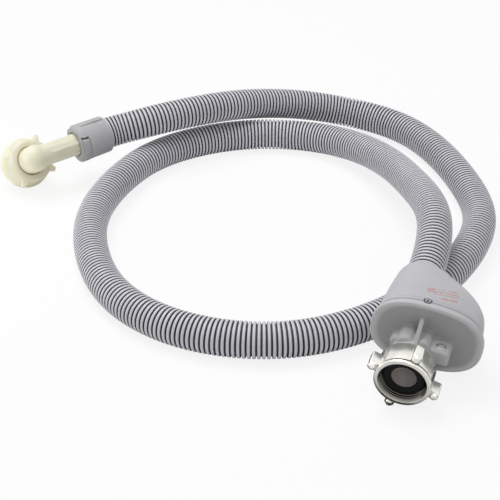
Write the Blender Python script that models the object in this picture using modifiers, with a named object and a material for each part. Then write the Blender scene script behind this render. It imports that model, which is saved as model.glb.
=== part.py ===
"""Safety inlet hose for a washing machine, laid down in a loop on a floor.

A corrugated outer hose guards the pressure hose inside it. At the tap end a moulded housing holds a
leak-stop valve with a metal union nut; at the machine end a snap sleeve holds a nylon elbow and nut.
Units are metres, +Z is up, the floor is z = 0.
"""

import math

import bmesh
import bpy
import numpy as np
from mathutils import Matrix, Vector

MM = 0.001

# Clearances
SEAT_GAP = 0.3 * MM
ROUND_STEPS = 32
SMALL_STEPS = 20

# Hoses
HOSE_OD = 22.0 * MM
HOSE_WALL = 1.6 * MM
INNER_HOSE_OD = 14.0 * MM
INNER_HOSE_WALL = 2.4 * MM
HOSE_POINT_STEP = 32.0 * MM
STRAIGHT_LEAD = 6.0 * MM
FERRULE_WALL = 0.9 * MM
FERRULE_LENGTH = 12.0 * MM

# Three-quarter inch pipe thread of the taps and machines that the nuts fit
THREAD_MINOR_R = 12.06 * MM
THREAD_MOUTH_R = 13.6 * MM
SEAL_OUTER_R = 11.7 * MM
SEAL_BORE_R = 7.5 * MM
SEAL_THICKNESS = 2.4 * MM

# Where the tap end lies: the stem's axis at the neck's mouth, and how the housing has rolled over
TAP_PLACE = (132.2 * MM, -60.1 * MM, 32.9 * MM)
TAP_TURN_DEG = 17.7
TAP_DIP_DEG = 8.0
TAP_ROLL_DEG = -8.4

# Where the machine end lies: its nut stands on the rim
KNEE_PLACE = (-126.6 * MM, 109.7 * MM, 27.9 * MM)
LEG_TURN_DEG = 35.0
LEG_RISE_DEG = 3.84
ELBOW_DROP_DEG = 31.5

# Housing shell, measured along its axis from the neck's end towards the tap
SHELL_LENGTH = 58.4 * MM
SHELL_WALL = 2.0 * MM
NECK_CENTRE = (-7.6 * MM, -1.1 * MM)
NECK_OUTER_R = 12.2 * MM
NECK_SOCKET_DEPTH = 8.6 * MM
NECK_LIP = 2.0 * MM
COVER_CENTRE = (5.1 * MM, 7.9 * MM)
COVER_HALF_WIDTH = 32.0 * MM
COVER_HALF_HEIGHT = 22.6 * MM
COVER_SQUARENESS = 2.53
COVER_OVERHANG = 1.6 * MM
COVER_THICKNESS = 2.8 * MM
COVER_DISH = 0.6 * MM
COVER_LIP_DEPTH = 4.0 * MM
COVER_LIP_WALL = 1.4 * MM
BEAD_HEIGHT = 0.5 * MM
BEAD_WIDTH = 6.0 * MM

# Boss of the cover, through which the valve body's stem comes out
STEM_R = 10.3 * MM
BOSS_WALL = 1.6 * MM
BOSS_LENGTH = 15.2 * MM
LOBE_R = 5.0 * MM
LOBE_LENGTH = 11.0 * MM
RIB_THICKNESS = 2.6 * MM
RIB_REACH = 10.0 * MM
RIB_OFFSET = 1.0 * MM
SCREW_BLOCK = (11.6 * MM, 10.0 * MM, 11.0 * MM)
SCREW_BLOCK_OFFSET = 14.7 * MM
SCREW_BLOCK_TOP = 10.4 * MM
SCREW_HEAD_R = 2.5 * MM
SCREW_SHANK_R = 1.3 * MM
SCREW_LENGTH = 8.0 * MM

# Valve body
BODY_R = 9.8 * MM
BODY_EAR = (5.4 * MM, 8.0 * MM, 3.0 * MM)
BODY_LENGTH = 25.0 * MM
BODY_BORE_R = 7.5 * MM
FLANGE_THICKNESS = 2.6 * MM
TAIL_LENGTH = 16.0 * MM
TAIL_BEND_HEIGHT = 10.0 * MM
TAIL_BORE_R = 2.8 * MM
TAIL_HOSE_GAP = 2.8 * MM
STEM_GROOVE_DEPTH = 1.6 * MM
STEM_GROOVE_WIDTH = 2.2 * MM

# Leak-stop mechanism
PISTON_TRAVEL = 3.0 * MM
PISTON_HEAD_R = 5.6 * MM
PISTON_STEM_R = 2.2 * MM
PIN_R = 1.5 * MM
PIN_HEAD_R = 4.7 * MM
PIN_HEAD_THICKNESS = 1.4 * MM
PAD_THICKNESS = 6.0 * MM
SPRING_WIRE_R = 0.55 * MM
SPRING_R = 5.2 * MM
SPRING_TURNS = 4
RETAINER_THICKNESS = 1.6 * MM

# Union nut of the tap end
TAP_NUT_LENGTH = 16.5 * MM
TAP_NUT_R = 15.9 * MM
NUT_BACK_WALL = 2.8 * MM
TAP_NUT_FRONT_DEPTH = 4.4 * MM
TAP_LUG_TIP_R = 21.3 * MM
TAP_LUG_WIDTH = 5.4 * MM
TAP_LUG_LENGTH = 11.2 * MM
TAP_LUG_TURN_DEG = 14.1
LUG_COUNT = 4

# Strainer
STRAINER_DEPTH = 5.2 * MM
STRAINER_WALL = 0.7 * MM

# Elbow, measured from the knee along each leg
ELBOW_HEAD_R = 9.6 * MM
ELBOW_LEG_R = 7.7 * MM
ELBOW_LEG_LENGTH = 33.4 * MM
ELBOW_BORE_R = 5.0 * MM
ELBOW_FACE = 18.0 * MM
ELBOW_FLANGE_THICKNESS = 2.4 * MM
ELBOW_LEG_SIDES = 12

# Union nut of the machine end
ELBOW_NUT_LENGTH = 16.0 * MM
ELBOW_NUT_R = 17.4 * MM
ELBOW_NUT_BACK_R = 15.6 * MM
ELBOW_NUT_FRONT_DEPTH = 4.6 * MM
ELBOW_LUG_TIP_R = 19.6 * MM
ELBOW_LUG_WIDTH = 5.4 * MM
ELBOW_LUG_LENGTH = 6.0 * MM
ELBOW_LUG_TURN_DEG = 54.0

# Snap sleeve and its clip, measured along the leg from the knee
SLEEVE_START = ELBOW_LEG_LENGTH - 2.2 * MM
SLEEVE_LENGTH = 24.0 * MM
SLEEVE_WALL = 1.7 * MM
SLEEVE_FRONT_WALL = 1.8 * MM
SLEEVE_SOCKET_DEPTH = 8.0 * MM
SLEEVE_KEEL = (3.2 * MM, 1.5 * MM)
CLIP_THICKNESS = 4.8 * MM
CLIP_PROUD = 0.5 * MM
CLIP_GROOVE_R = 6.0 * MM
CLIP_GROOVE_START = ELBOW_LEG_LENGTH + 0.6 * MM
CLIP_SLOT_GAP = 1.4 * MM

# The hose's route on the floor, chosen by hand, in millimetres: from the sleeve, behind and round the
# loop, under the housing's neck, round again and up into the neck
ROUTE_MM = (
    (-68, 147, 33.5),
    (-53, 152, 35.5),
    (-36, 160, 36.5),
    (-10, 174, 36),
    (11, 187, 33.5),
    (33, 200, 29),
    (60, 211, 23),
    (95, 215, 15.5),
    (128, 202, 11.6),
    (158, 154, 11.2),
    (172, 101, 11.2),
    (175, 55, 11.2),
    (165, 18, 11.2),
    (135, -33, 11.2),
    (93, -72.5, 11.2),
    (45, -92, 11.2),
    (1, -89, 11.2),
    (-37, -69, 11.2),
    (-61, -41, 11.2),
    (-78, 4, 11.2),
    (-83, 51, 11.2),
    (-68, 112, 11.2),
    (-47, 147, 11.2),
    (-10, 174, 11.2),
    (33, 184, 11.2),
    (75, 175, 12),
    (111, 131, 20),
    (131, 61, 32),
    (137, -1, 39),
)


def clear_scene():
    for old in list(bpy.data.objects):
        bpy.data.objects.remove(old, do_unlink=True)


clear_scene()
PARTS = bpy.data.collections.new("washing_machine_inlet_hose")
CUTTERS = bpy.data.collections.new("cutters")
bpy.context.scene.collection.children.link(PARTS)
bpy.context.scene.collection.children.link(CUTTERS)


def finish(name, colour, roughness, metallic=0.0):
    """The part's own material."""
    made = bpy.data.materials.new(name)
    made.use_nodes = True
    shader = made.node_tree.nodes["Principled BSDF"]
    shader.inputs["Base Color"].default_value = (*colour, 1.0)
    shader.inputs["Roughness"].default_value = roughness
    shader.inputs["Metallic"].default_value = metallic
    made.diffuse_color = (*colour, 1.0)
    return made


GREY_HOSE = finish("grey_hose_plastic", (0.50, 0.50, 0.54), 0.45)
GREY_MOULDED = finish("grey_moulded_plastic", (0.44, 0.44, 0.46), 0.5)
CREAM_NYLON = finish("cream_nylon", (0.80, 0.77, 0.60), 0.4)
ZINC = finish("zinc_plated_metal", (0.78, 0.77, 0.72), 0.3, 1.0)
BLACK_RUBBER = finish("black_rubber", (0.02, 0.02, 0.02), 0.6)
STEEL = finish("spring_steel", (0.55, 0.55, 0.56), 0.35, 1.0)
BRASS = finish("crimped_brass", (0.70, 0.55, 0.28), 0.4, 1.0)
WHITE_ACETAL = finish("white_acetal", (0.85, 0.85, 0.83), 0.4)
FELT = finish("swelling_felt", (0.62, 0.52, 0.34), 0.95)
MESH_METAL = finish("strainer_mesh", (0.16, 0.14, 0.13), 0.6, 0.6)
REINFORCED_HOSE = finish("reinforced_rubber_hose", (0.10, 0.10, 0.11), 0.6)


def frame_at(name, origin, z_axis, x_axis):
    """An empty whose local Z and X lie along the given directions."""
    z = Vector(z_axis).normalized()
    x = (Vector(x_axis) - Vector(x_axis).dot(z) * z).normalized()
    y = z.cross(x)
    empty = bpy.data.objects.new(name, None)
    PARTS.objects.link(empty)
    turn = Matrix((x, y, z)).transposed().to_4x4()
    empty.matrix_world = Matrix.Translation(origin) @ turn
    return empty


def tap_frame():
    turn = math.radians(TAP_TURN_DEG)
    dip = math.radians(TAP_DIP_DEG)
    roll = math.radians(TAP_ROLL_DEG)
    to_tap = Vector((-math.sin(turn) * math.cos(dip), -math.cos(turn) * math.cos(dip), -math.sin(dip)))
    level = Vector((math.cos(turn), -math.sin(turn), 0))
    side = math.cos(roll) * level + math.sin(roll) * to_tap.cross(level)
    return frame_at("tap_end", TAP_PLACE, to_tap, side)


def leg_direction():
    turn = math.radians(LEG_TURN_DEG)
    rise = math.radians(LEG_RISE_DEG)
    return Vector((math.cos(turn) * math.cos(rise), math.sin(turn) * math.cos(rise), math.sin(rise)))


def leg_frame():
    """Local Z runs along the elbow's leg to the hose, and local Y points up."""
    leg = leg_direction()
    return frame_at("elbow_leg", KNEE_PLACE, leg, Vector((0, 0, 1)).cross(leg))


def knee_frame():
    """Local X runs along the leg, and local Z to the nut's open end."""
    leg = leg_direction()
    level = Vector((0, 0, 1)).cross(leg).normalized()
    down = level.cross(leg).normalized()
    down = down if down.z < 0 else -down
    drop = math.radians(ELBOW_DROP_DEG)
    return frame_at("elbow_knee", KNEE_PLACE, math.cos(drop) * level + math.sin(drop) * down, leg)


TAP = tap_frame()
LEG = leg_frame()
KNEE = knee_frame()


def place(name, mesh, frame, material, offset=(0, 0, 0), spin=None, cutter=False):
    """Puts a mesh into the collection under its frame."""
    made = bpy.data.objects.new(name, mesh)
    (CUTTERS if cutter else PARTS).objects.link(made)
    made.parent = frame
    made.location = offset
    if spin is not None:
        made.rotation_euler = spin
    if cutter:
        made.hide_render = True
        made.display_type = "WIRE"
    else:
        mesh.materials.append(material)
    return made


def turned(name, profile, frame, material=None, offset=(0, 0, 0), spin=None, steps=ROUND_STEPS, cutter=False):
    """A profile of (radius, height) points turned round local Z; it runs down the outer side."""
    mesh = bpy.data.meshes.new(name)
    points = [(r, 0.0, z) for r, z in profile]
    edges = [(i, i + 1) for i in range(len(points) - 1)]
    if profile[0][0] > 0:
        edges.append((len(points) - 1, 0))
    mesh.from_pydata(points, edges, [])
    made = place(name, mesh, frame, material, offset, spin, cutter)
    screw = made.modifiers.new("turn", "SCREW")
    screw.steps = steps
    screw.render_steps = steps
    screw.use_merge_vertices = True
    screw.merge_threshold = 0.00001
    screw.use_smooth_shade = True
    return made


def ring_profile(inner, outer, low, high):
    return [(outer, high), (outer, low), (inner, low), (inner, high)]


def rod_profile(radius, low, high):
    return [(0, high), (radius, high), (radius, low), (0, low)]


def torus(name, ring_r, tube_r, frame, material, offset=(0, 0, 0), spin=None):
    """A round sealing ring about local Z."""
    count = 8
    profile = []
    for i in range(count):
        angle = math.tau * (i + 0.5) / count
        profile.append((ring_r + tube_r * math.sin(angle), tube_r * math.cos(angle)))
    return turned(name, profile, frame, material, offset, spin, SMALL_STEPS + 4)


def superellipse(centre, half_width, half_height, power, height, count=44):
    """One closed section of a loft, square-cornered as power grows."""
    ring = []
    for i in range(count):
        angle = math.tau * i / count
        c, s = math.cos(angle), math.sin(angle)
        x = math.copysign(abs(c) ** (2 / power), c) * half_width
        y = math.copysign(abs(s) ** (2 / power), s) * half_height
        ring.append(Vector((centre[0] + x, centre[1] + y, height)))
    return ring


def loft(name, rings, frame, material=None, closed=False, cutter=False):
    """Skins a row of sections with the same number of points; closed joins the last to the first."""
    builder = bmesh.new()
    rows = [[builder.verts.new(p) for p in ring] for ring in rings]
    pairs = list(zip(rows, rows[1:] + rows[:1])) if closed else list(zip(rows, rows[1:]))
    for low, high in pairs:
        for i in range(len(low)):
            j = (i + 1) % len(low)
            builder.faces.new((low[i], low[j], high[j], high[i]))
    if not closed:
        builder.faces.new(list(reversed(rows[0])))
        builder.faces.new(rows[-1])
    bmesh.ops.recalc_face_normals(builder, faces=builder.faces)
    mesh = bpy.data.meshes.new(name)
    builder.to_mesh(mesh)
    builder.free()
    mesh.shade_smooth()
    mesh.set_sharp_from_angle(angle=math.radians(35))
    return place(name, mesh, frame, material, cutter=cutter)


def block(name, size, centre, frame, material=None, rounding=0.0, spin=None, cutter=False):
    """A box with rounded edges."""
    builder = bmesh.new()
    bmesh.ops.create_cube(builder, size=1.0)
    bmesh.ops.scale(builder, vec=size, verts=builder.verts)
    mesh = bpy.data.meshes.new(name)
    builder.to_mesh(mesh)
    builder.free()
    made = place(name, mesh, frame, material, centre, spin, cutter)
    if rounding:
        soften(made, rounding)
    return made


def plate(name, outline, thickness, frame, material=None, offset=(0, 0, 0), spin=None, cutter=False):
    """A flat outline in local XY made thickness thick about its plane, as a mesh."""
    curve = bpy.data.curves.new(name, "CURVE")
    curve.dimensions = "2D"
    curve.fill_mode = "BOTH"
    curve.extrude = thickness / 2
    line = curve.splines.new("POLY")
    line.points.add(len(outline) - 1)
    for point, (x, y) in zip(line.points, outline):
        point.co = (x, y, 0, 1)
    line.use_cyclic_u = True
    return place(name, curve_mesh(curve, name), frame, material, offset, spin, cutter)


def curve_mesh(curve, name):
    """The evaluated mesh of a curve, with its caps welded on; the curve is removed."""
    holder = bpy.data.objects.new(name + "_curve", curve)
    bpy.context.scene.collection.objects.link(holder)
    bpy.context.view_layer.update()
    mesh = bpy.data.meshes.new_from_object(holder.evaluated_get(bpy.context.evaluated_depsgraph_get()))
    bpy.data.objects.remove(holder, do_unlink=True)
    bpy.data.curves.remove(curve)
    builder = bmesh.new()
    builder.from_mesh(mesh)
    bmesh.ops.remove_doubles(builder, verts=builder.verts, dist=0.000001)
    bmesh.ops.recalc_face_normals(builder, faces=builder.faces)
    builder.to_mesh(mesh)
    builder.free()
    mesh.name = name
    return mesh


def soften(made, width, segments=2):
    bevel = made.modifiers.new("soften", "BEVEL")
    bevel.width = width
    bevel.segments = segments
    bevel.limit_method = "ANGLE"


def cut(target, tool):
    away = target.modifiers.new("cut_" + tool.name, "BOOLEAN")
    away.operation = "DIFFERENCE"
    away.object = tool


def join(target, tool):
    together = target.modifiers.new("join_" + tool.name, "BOOLEAN")
    together.operation = "UNION"
    together.object = tool


# Places along the tap end's axis, from the neck's end
COVER_BACK = SHELL_LENGTH + SEAT_GAP
COVER_FRONT = COVER_BACK + COVER_THICKNESS
BOSS_FRONT = COVER_FRONT + BOSS_LENGTH
NUT_BACK = BOSS_FRONT + SEAT_GAP
NUT_FRONT = NUT_BACK + TAP_NUT_LENGTH
WASHER_FRONT = NUT_FRONT - TAP_NUT_FRONT_DEPTH
WASHER_BACK = WASHER_FRONT - SEAL_THICKNESS
STEM_FRONT = WASHER_BACK - SEAT_GAP
BODY_FRONT = COVER_BACK - SEAT_GAP
BODY_BACK = BODY_FRONT - BODY_LENGTH
TAIL_ROOT = BODY_BACK - 2.0 * MM
TAIL_R = INNER_HOSE_OD / 2 - INNER_HOSE_WALL - SEAT_GAP
SEAT_APEX = BODY_BACK + 0.5 * MM
PISTON_APEX = SEAT_APEX + PISTON_TRAVEL + SEAT_GAP * math.sqrt(2)
LATCH_APEX = PISTON_APEX + 14.0 * MM
PIN_TIP = PISTON_STEM_R + 0.5 * MM
PIN_HEIGHT = LATCH_APEX + PIN_TIP - SEAT_GAP * math.sqrt(2)
PIN_GUIDE_END = BODY_R + 1.8 * MM
COVER_POWER = COVER_SQUARENESS


def tail_frame():
    """The hose tail leans towards the neck, which lies to one side of the stem's axis."""
    bpy.context.view_layer.update()
    root = Vector((0, 0, TAIL_ROOT))
    bend = Vector((*NECK_CENTRE, TAIL_BEND_HEIGHT))
    turn = TAP.matrix_world.to_3x3()
    return frame_at("tap_tail", TAP.matrix_world @ root, turn @ (root - bend), turn @ Vector((1, 0, 0)))


TAIL = tail_frame()


def cover_outline(inset, height):
    return superellipse(COVER_CENTRE, COVER_HALF_WIDTH - inset, COVER_HALF_HEIGHT - inset, COVER_POWER, height)


def shell_stations():
    """Outer sections of the housing from neck to cover: height, left, right, low, high, squareness.

    The left side runs straight out from a short shoulder, the right and top sides swell in one curve.
    """
    half_w = COVER_HALF_WIDTH - COVER_OVERHANG - BEAD_HEIGHT
    half_h = COVER_HALF_HEIGHT - COVER_OVERHANG - BEAD_HEIGHT
    ends = (
        (NECK_OUTER_R - NECK_CENTRE[0], half_w - COVER_CENTRE[0]),
        (NECK_OUTER_R + NECK_CENTRE[0], half_w + COVER_CENTRE[0]),
        (NECK_OUTER_R - NECK_CENTRE[1], half_h - COVER_CENTRE[1]),
        (NECK_OUTER_R + NECK_CENTRE[1], half_h + COVER_CENTRE[1]),
    )
    rows = []
    # height, then how far the left, right, low and high sides have moved from neck to cover
    for height, *moved in (
        (0.0, 0.00, 0.00, 0.00, 0.00),
        (1.5, 0.03, 0.01, 0.05, 0.03),
        (4.0, 0.24, 0.10, 0.22, 0.10),
        (8.0, 0.42, 0.24, 0.42, 0.22),
        (14.0, 0.57, 0.45, 0.60, 0.34),
        (22.0, 0.70, 0.71, 0.75, 0.50),
        (31.0, 0.82, 0.88, 0.87, 0.68),
        (41.0, 0.92, 0.975, 0.95, 0.87),
        (49.0, 0.98, 1.00, 0.99, 0.97),
        (52.4, 1.00, 1.00, 1.00, 1.00),
    ):
        sides = [neck + share * (cover - neck) for share, (neck, cover) in zip(moved, ends)]
        power = 2 + (COVER_POWER - 2) * (moved[0] + moved[1]) / 2
        rows.append((height * MM, *sides, power))
    return rows


def shell_ring(station, inset, height=None):
    z, left, right, low, high, power = station
    centre = ((right - left) / 2, (high - low) / 2)
    half_w = (right + left) / 2 - inset
    half_h = (high + low) / 2 - inset
    return superellipse(centre, half_w, half_h, power, z if height is None else height)


def make_housing_shell():
    """Tapered shell: a socket for the hose in its neck, a lip behind it, and a bead at the cover joint."""
    stations = shell_stations()
    outer = [shell_ring(s, 0) for s in stations]
    bead = COVER_OVERHANG
    edge = SHELL_LENGTH - BEAD_WIDTH + BEAD_HEIGHT
    outer.append(cover_outline(bead, edge))
    outer.append(cover_outline(bead, SHELL_LENGTH))
    wall = COVER_OVERHANG + BEAD_HEIGHT + SHELL_WALL
    inner = [cover_outline(wall, SHELL_LENGTH)]
    inner += [shell_ring(s, SHELL_WALL) for s in reversed(stations[4:])]
    lip_r = INNER_HOSE_OD / 2 + 1.6 * MM
    socket_r = HOSE_OD / 2 + SEAT_GAP
    lip_front = NECK_SOCKET_DEPTH + NECK_LIP
    for radius, height in (
        (lip_r, lip_front),
        (lip_r, NECK_SOCKET_DEPTH),
        (socket_r, NECK_SOCKET_DEPTH),
        (socket_r, 0.0),
    ):
        inner.append(superellipse(NECK_CENTRE, radius, radius, 2, height))
    return loft("housing_shell", outer + inner, TAP, GREY_MOULDED, closed=True)


def scallop_cylinder(name, centre, length):
    """One lobe of the cover's boss."""
    x, y = centre
    start = COVER_BACK + COVER_THICKNESS / 2
    profile = rod_profile(LOBE_R, 0, length + COVER_THICKNESS / 2)
    lobe = turned(name, profile, TAP, offset=(x, y, start), steps=SMALL_STEPS, cutter=True)
    soften(lobe, 1.2 * MM)
    return lobe


def make_front_cover():
    """Oval cover with its rim, inner lip, stem boss with lobes, gusset rib and screw block."""
    rings = [
        cover_outline(0.5 * MM, COVER_BACK),
        cover_outline(0, COVER_BACK + 0.6 * MM),
        cover_outline(0, COVER_FRONT - 1.0 * MM),
        cover_outline(0.5 * MM, COVER_FRONT - 0.3 * MM),
        cover_outline(1.4 * MM, COVER_FRONT),
        cover_outline(3.6 * MM, COVER_FRONT - COVER_DISH),
    ]
    cover = loft("front_cover", rings, TAP, GREY_MOULDED)
    lip_outer = COVER_OVERHANG + BEAD_HEIGHT + SHELL_WALL + SEAT_GAP
    lip_low = COVER_BACK - COVER_LIP_DEPTH
    lip_high = COVER_BACK + COVER_THICKNESS / 2
    lip = [
        cover_outline(lip_outer, lip_low),
        cover_outline(lip_outer, lip_high),
        cover_outline(lip_outer + COVER_LIP_WALL, lip_high),
        cover_outline(lip_outer + COVER_LIP_WALL, lip_low),
    ]
    join(cover, loft("cover_lip", lip, TAP, closed=True, cutter=True))
    boss_r = STEM_R + SEAT_GAP + BOSS_WALL
    boss_low = COVER_BACK + COVER_THICKNESS / 2
    boss_profile = [
        (0, BOSS_FRONT),
        (boss_r - 0.6 * MM, BOSS_FRONT),
        (boss_r, BOSS_FRONT - 0.6 * MM),
        (boss_r, boss_low),
        (0, boss_low),
    ]
    join(cover, turned("cover_boss", boss_profile, TAP, cutter=True))
    reach = boss_r - 0.45 * LOBE_R
    for number, (angle, length) in enumerate(((152, 0.7), (62, 1.0), (118, 1.0), (24, 1.0))):
        turn = math.radians(angle)
        centre = (reach * math.cos(turn), reach * math.sin(turn))
        join(cover, scallop_cylinder(f"boss_lobe_{number + 1}", centre, length * LOBE_LENGTH))
    join(cover, make_gusset(boss_r))
    join(cover, make_screw_block())
    bore = rod_profile(STEM_R + SEAT_GAP, lip_low, BOSS_FRONT + 2 * MM)
    cut(cover, turned("cover_bore", bore, TAP, cutter=True))
    cut(cover, make_screw_hole())
    return cover


def make_gusset(boss_r):
    """Thin web from the boss's top up the cover's face."""
    low = COVER_FRONT - COVER_DISH - 0.8 * MM
    outline = [
        (boss_r - 1.4 * MM, low),
        (boss_r + RIB_REACH, low),
        (boss_r + RIB_REACH, COVER_FRONT + 1.2 * MM),
        (boss_r + 0.6 * RIB_REACH, COVER_FRONT + 3.2 * MM),
        (boss_r + 0.9 * MM, BOSS_FRONT - 3.0 * MM),
        (boss_r + 0.5 * MM, BOSS_FRONT - 1.2 * MM),
        (boss_r - 1.4 * MM, BOSS_FRONT - 1.2 * MM),
    ]
    # local X of the outline is the housing's up, local Y its axis
    offset = (RIB_OFFSET, 0, 0)
    turn = Matrix(((0, 0, 1), (1, 0, 0), (0, 1, 0))).to_euler()
    rib = plate("cover_gusset", outline, RIB_THICKNESS, TAP, offset=offset, spin=turn, cutter=True)
    soften(rib, 0.5 * MM, 1)
    return rib


def make_screw_block():
    width, height, depth = SCREW_BLOCK
    sunk = COVER_THICKNESS / 2
    size = (width, height, depth + sunk)
    centre = (
        SCREW_BLOCK_OFFSET,
        SCREW_BLOCK_TOP - height / 2,
        COVER_FRONT + (depth - sunk) / 2,
    )
    return block("cover_screw_block", size, centre, TAP, rounding=1.4 * MM, cutter=True)


def screw_place():
    return (SCREW_BLOCK_OFFSET, SCREW_BLOCK_TOP, COVER_FRONT + SCREW_BLOCK[2] / 2)


UP_SPIN = (-math.pi / 2, 0, 0)


def make_screw_hole():
    """Round recess for the head and a pilot hole; the profile's height runs up the housing."""
    depth = 2.6 * MM
    profile = [
        (0, 1 * MM),
        (SCREW_HEAD_R + SEAT_GAP, 1 * MM),
        (SCREW_HEAD_R + SEAT_GAP, -depth),
        (SCREW_SHANK_R + SEAT_GAP, -depth),
        (SCREW_SHANK_R + SEAT_GAP, -depth - SCREW_LENGTH + 2.4 * MM),
        (0, -depth - SCREW_LENGTH + 2.4 * MM),
    ]
    return turned("screw_hole", profile, TAP, offset=screw_place(), spin=UP_SPIN, steps=SMALL_STEPS, cutter=True)


def make_cover_screw():
    """Pan-head screw with a cross recess, sunk in the cover's block."""
    top = -0.9 * MM
    seat = -2.6 * MM + SEAT_GAP
    profile = [
        (0, top),
        (SCREW_HEAD_R * 0.6, top - 0.1 * MM),
        (SCREW_HEAD_R, top - 0.6 * MM),
        (SCREW_HEAD_R, seat),
        (SCREW_SHANK_R, seat),
        (SCREW_SHANK_R, seat - SCREW_LENGTH + 4.0 * MM),
        (0, seat - SCREW_LENGTH + 3.0 * MM),
    ]
    x, y, z = screw_place()
    screw = turned("cover_screw", profile, TAP, ZINC, (x, y, z), UP_SPIN, SMALL_STEPS)
    slot = 0.6 * MM
    for number, size in enumerate(((2.6 * MM, 2 * slot, slot), (slot, 2 * slot, 2.6 * MM))):
        cross = block(f"screw_cross_{number + 1}", size, (x, y + top, z), TAP, cutter=True)
        cut(screw, cross)
    return screw


def barbed_tail(start, end, radius):
    """Profile of a hose tail whose barbs grip the pressure hose; it runs down from start to end."""
    points = []
    count = 3
    pitch = (start - end) / (count + 1)
    for i in range(count):
        top = start - (i + 0.6) * pitch
        points.append((radius - 0.5 * MM, top))
        points.append((radius, top))
    points.append((radius - 0.6 * MM, end))
    return points


def make_valve_body():
    """Stem with the flange that the nut pulls on, the valve chamber with its seat, and the hose tail."""
    groove_mid = (COVER_FRONT + BOSS_FRONT) / 2
    half = STEM_GROOVE_WIDTH / 2
    throat = SEAT_APEX + TAIL_BORE_R
    profile = [
        (0, throat),
        (TAIL_BORE_R, throat),
        (BODY_BORE_R, SEAT_APEX + BODY_BORE_R),
        (BODY_BORE_R, STEM_FRONT),
        (SEAL_OUTER_R, STEM_FRONT),
        (SEAL_OUTER_R, STEM_FRONT - FLANGE_THICKNESS),
        (STEM_R, STEM_FRONT - FLANGE_THICKNESS),
        (STEM_R, groove_mid + half),
        (STEM_R - STEM_GROOVE_DEPTH, groove_mid + half),
        (STEM_R - STEM_GROOVE_DEPTH, groove_mid - half),
        (STEM_R, groove_mid - half),
        (STEM_R, BODY_FRONT),
        (BODY_R, BODY_FRONT),
        (BODY_R, BODY_BACK),
        (BODY_R - 3 * MM, TAIL_ROOT),
        (0, TAIL_ROOT),
    ]
    body = turned("valve_body", profile, TAP, WHITE_ACETAL)
    reach = BODY_BORE_R + 0.6 * MM + BODY_EAR[0] / 2
    ear_centre = (-reach, 0, BODY_FRONT - BODY_EAR[2] / 2 - SEAT_GAP)
    join(body, block("body_ear", BODY_EAR, ear_centre, TAP, rounding=0.6 * MM, cutter=True))
    tail = [(0, 3 * MM), (TAIL_R - 0.5 * MM, 3 * MM), (TAIL_R - 0.5 * MM, 0)]
    tail += barbed_tail(0, -TAIL_LENGTH, TAIL_R)
    tail.append((0, -TAIL_LENGTH))
    join(body, turned("body_tail", tail, TAIL, steps=SMALL_STEPS, cutter=True))
    throat_bore = rod_profile(TAIL_BORE_R - 0.3 * MM, TAIL_ROOT + 1.6 * MM, throat + 1 * MM)
    cut(body, turned("throat_bore", throat_bore, TAP, steps=SMALL_STEPS, cutter=True))
    tail_bore = rod_profile(TAIL_BORE_R - 0.2 * MM, -TAIL_LENGTH - 1 * MM, 3.4 * MM)
    cut(body, turned("tail_bore", tail_bore, TAIL, steps=SMALL_STEPS, cutter=True))
    guide = turned(
        "pin_guide",
        rod_profile(PIN_HEAD_R, BODY_BORE_R + 0.5 * MM, PIN_GUIDE_END),
        TAP,
        offset=(0, 0, PIN_HEIGHT),
        spin=(0, math.pi / 2, 0),
        steps=SMALL_STEPS,
        cutter=True,
    )
    join(body, guide)
    seal_front = PIN_GUIDE_END - 1.2 * MM
    hole = [
        (0, PIN_GUIDE_END + 1 * MM),
        (PIN_R + SEAT_GAP, PIN_GUIDE_END + 1 * MM),
        (PIN_R + SEAT_GAP, seal_front),
        (PIN_R + 1.3 * MM, seal_front),
        (PIN_R + 1.3 * MM, seal_front - 1.6 * MM),
        (PIN_R + SEAT_GAP, seal_front - 1.6 * MM),
        (PIN_R + SEAT_GAP, 0.4 * BODY_BORE_R),
        (0, 0.4 * BODY_BORE_R),
    ]
    hole_tool = turned(
        "pin_hole",
        hole,
        TAP,
        offset=(0, 0, PIN_HEIGHT),
        spin=(0, math.pi / 2, 0),
        steps=SMALL_STEPS,
        cutter=True,
    )
    cut(body, hole_tool)
    return body


def make_stem_seal():
    middle = (COVER_FRONT + BOSS_FRONT) / 2
    tube_r = (STEM_GROOVE_DEPTH - 0.4 * MM) / 2 + 0.15 * MM
    ring_r = STEM_R - STEM_GROOVE_DEPTH + tube_r + 0.15 * MM
    return torus("stem_seal", ring_r, tube_r, TAP, BLACK_RUBBER, (0, 0, middle))


def make_pin_seal():
    middle = PIN_GUIDE_END - 2.0 * MM
    tube_r = 0.45 * MM
    place_x = (middle, 0, PIN_HEIGHT)
    return torus("pin_seal", PIN_R + 0.7 * MM, tube_r, TAP, BLACK_RUBBER, place_x, (0, math.pi / 2, 0))


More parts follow.
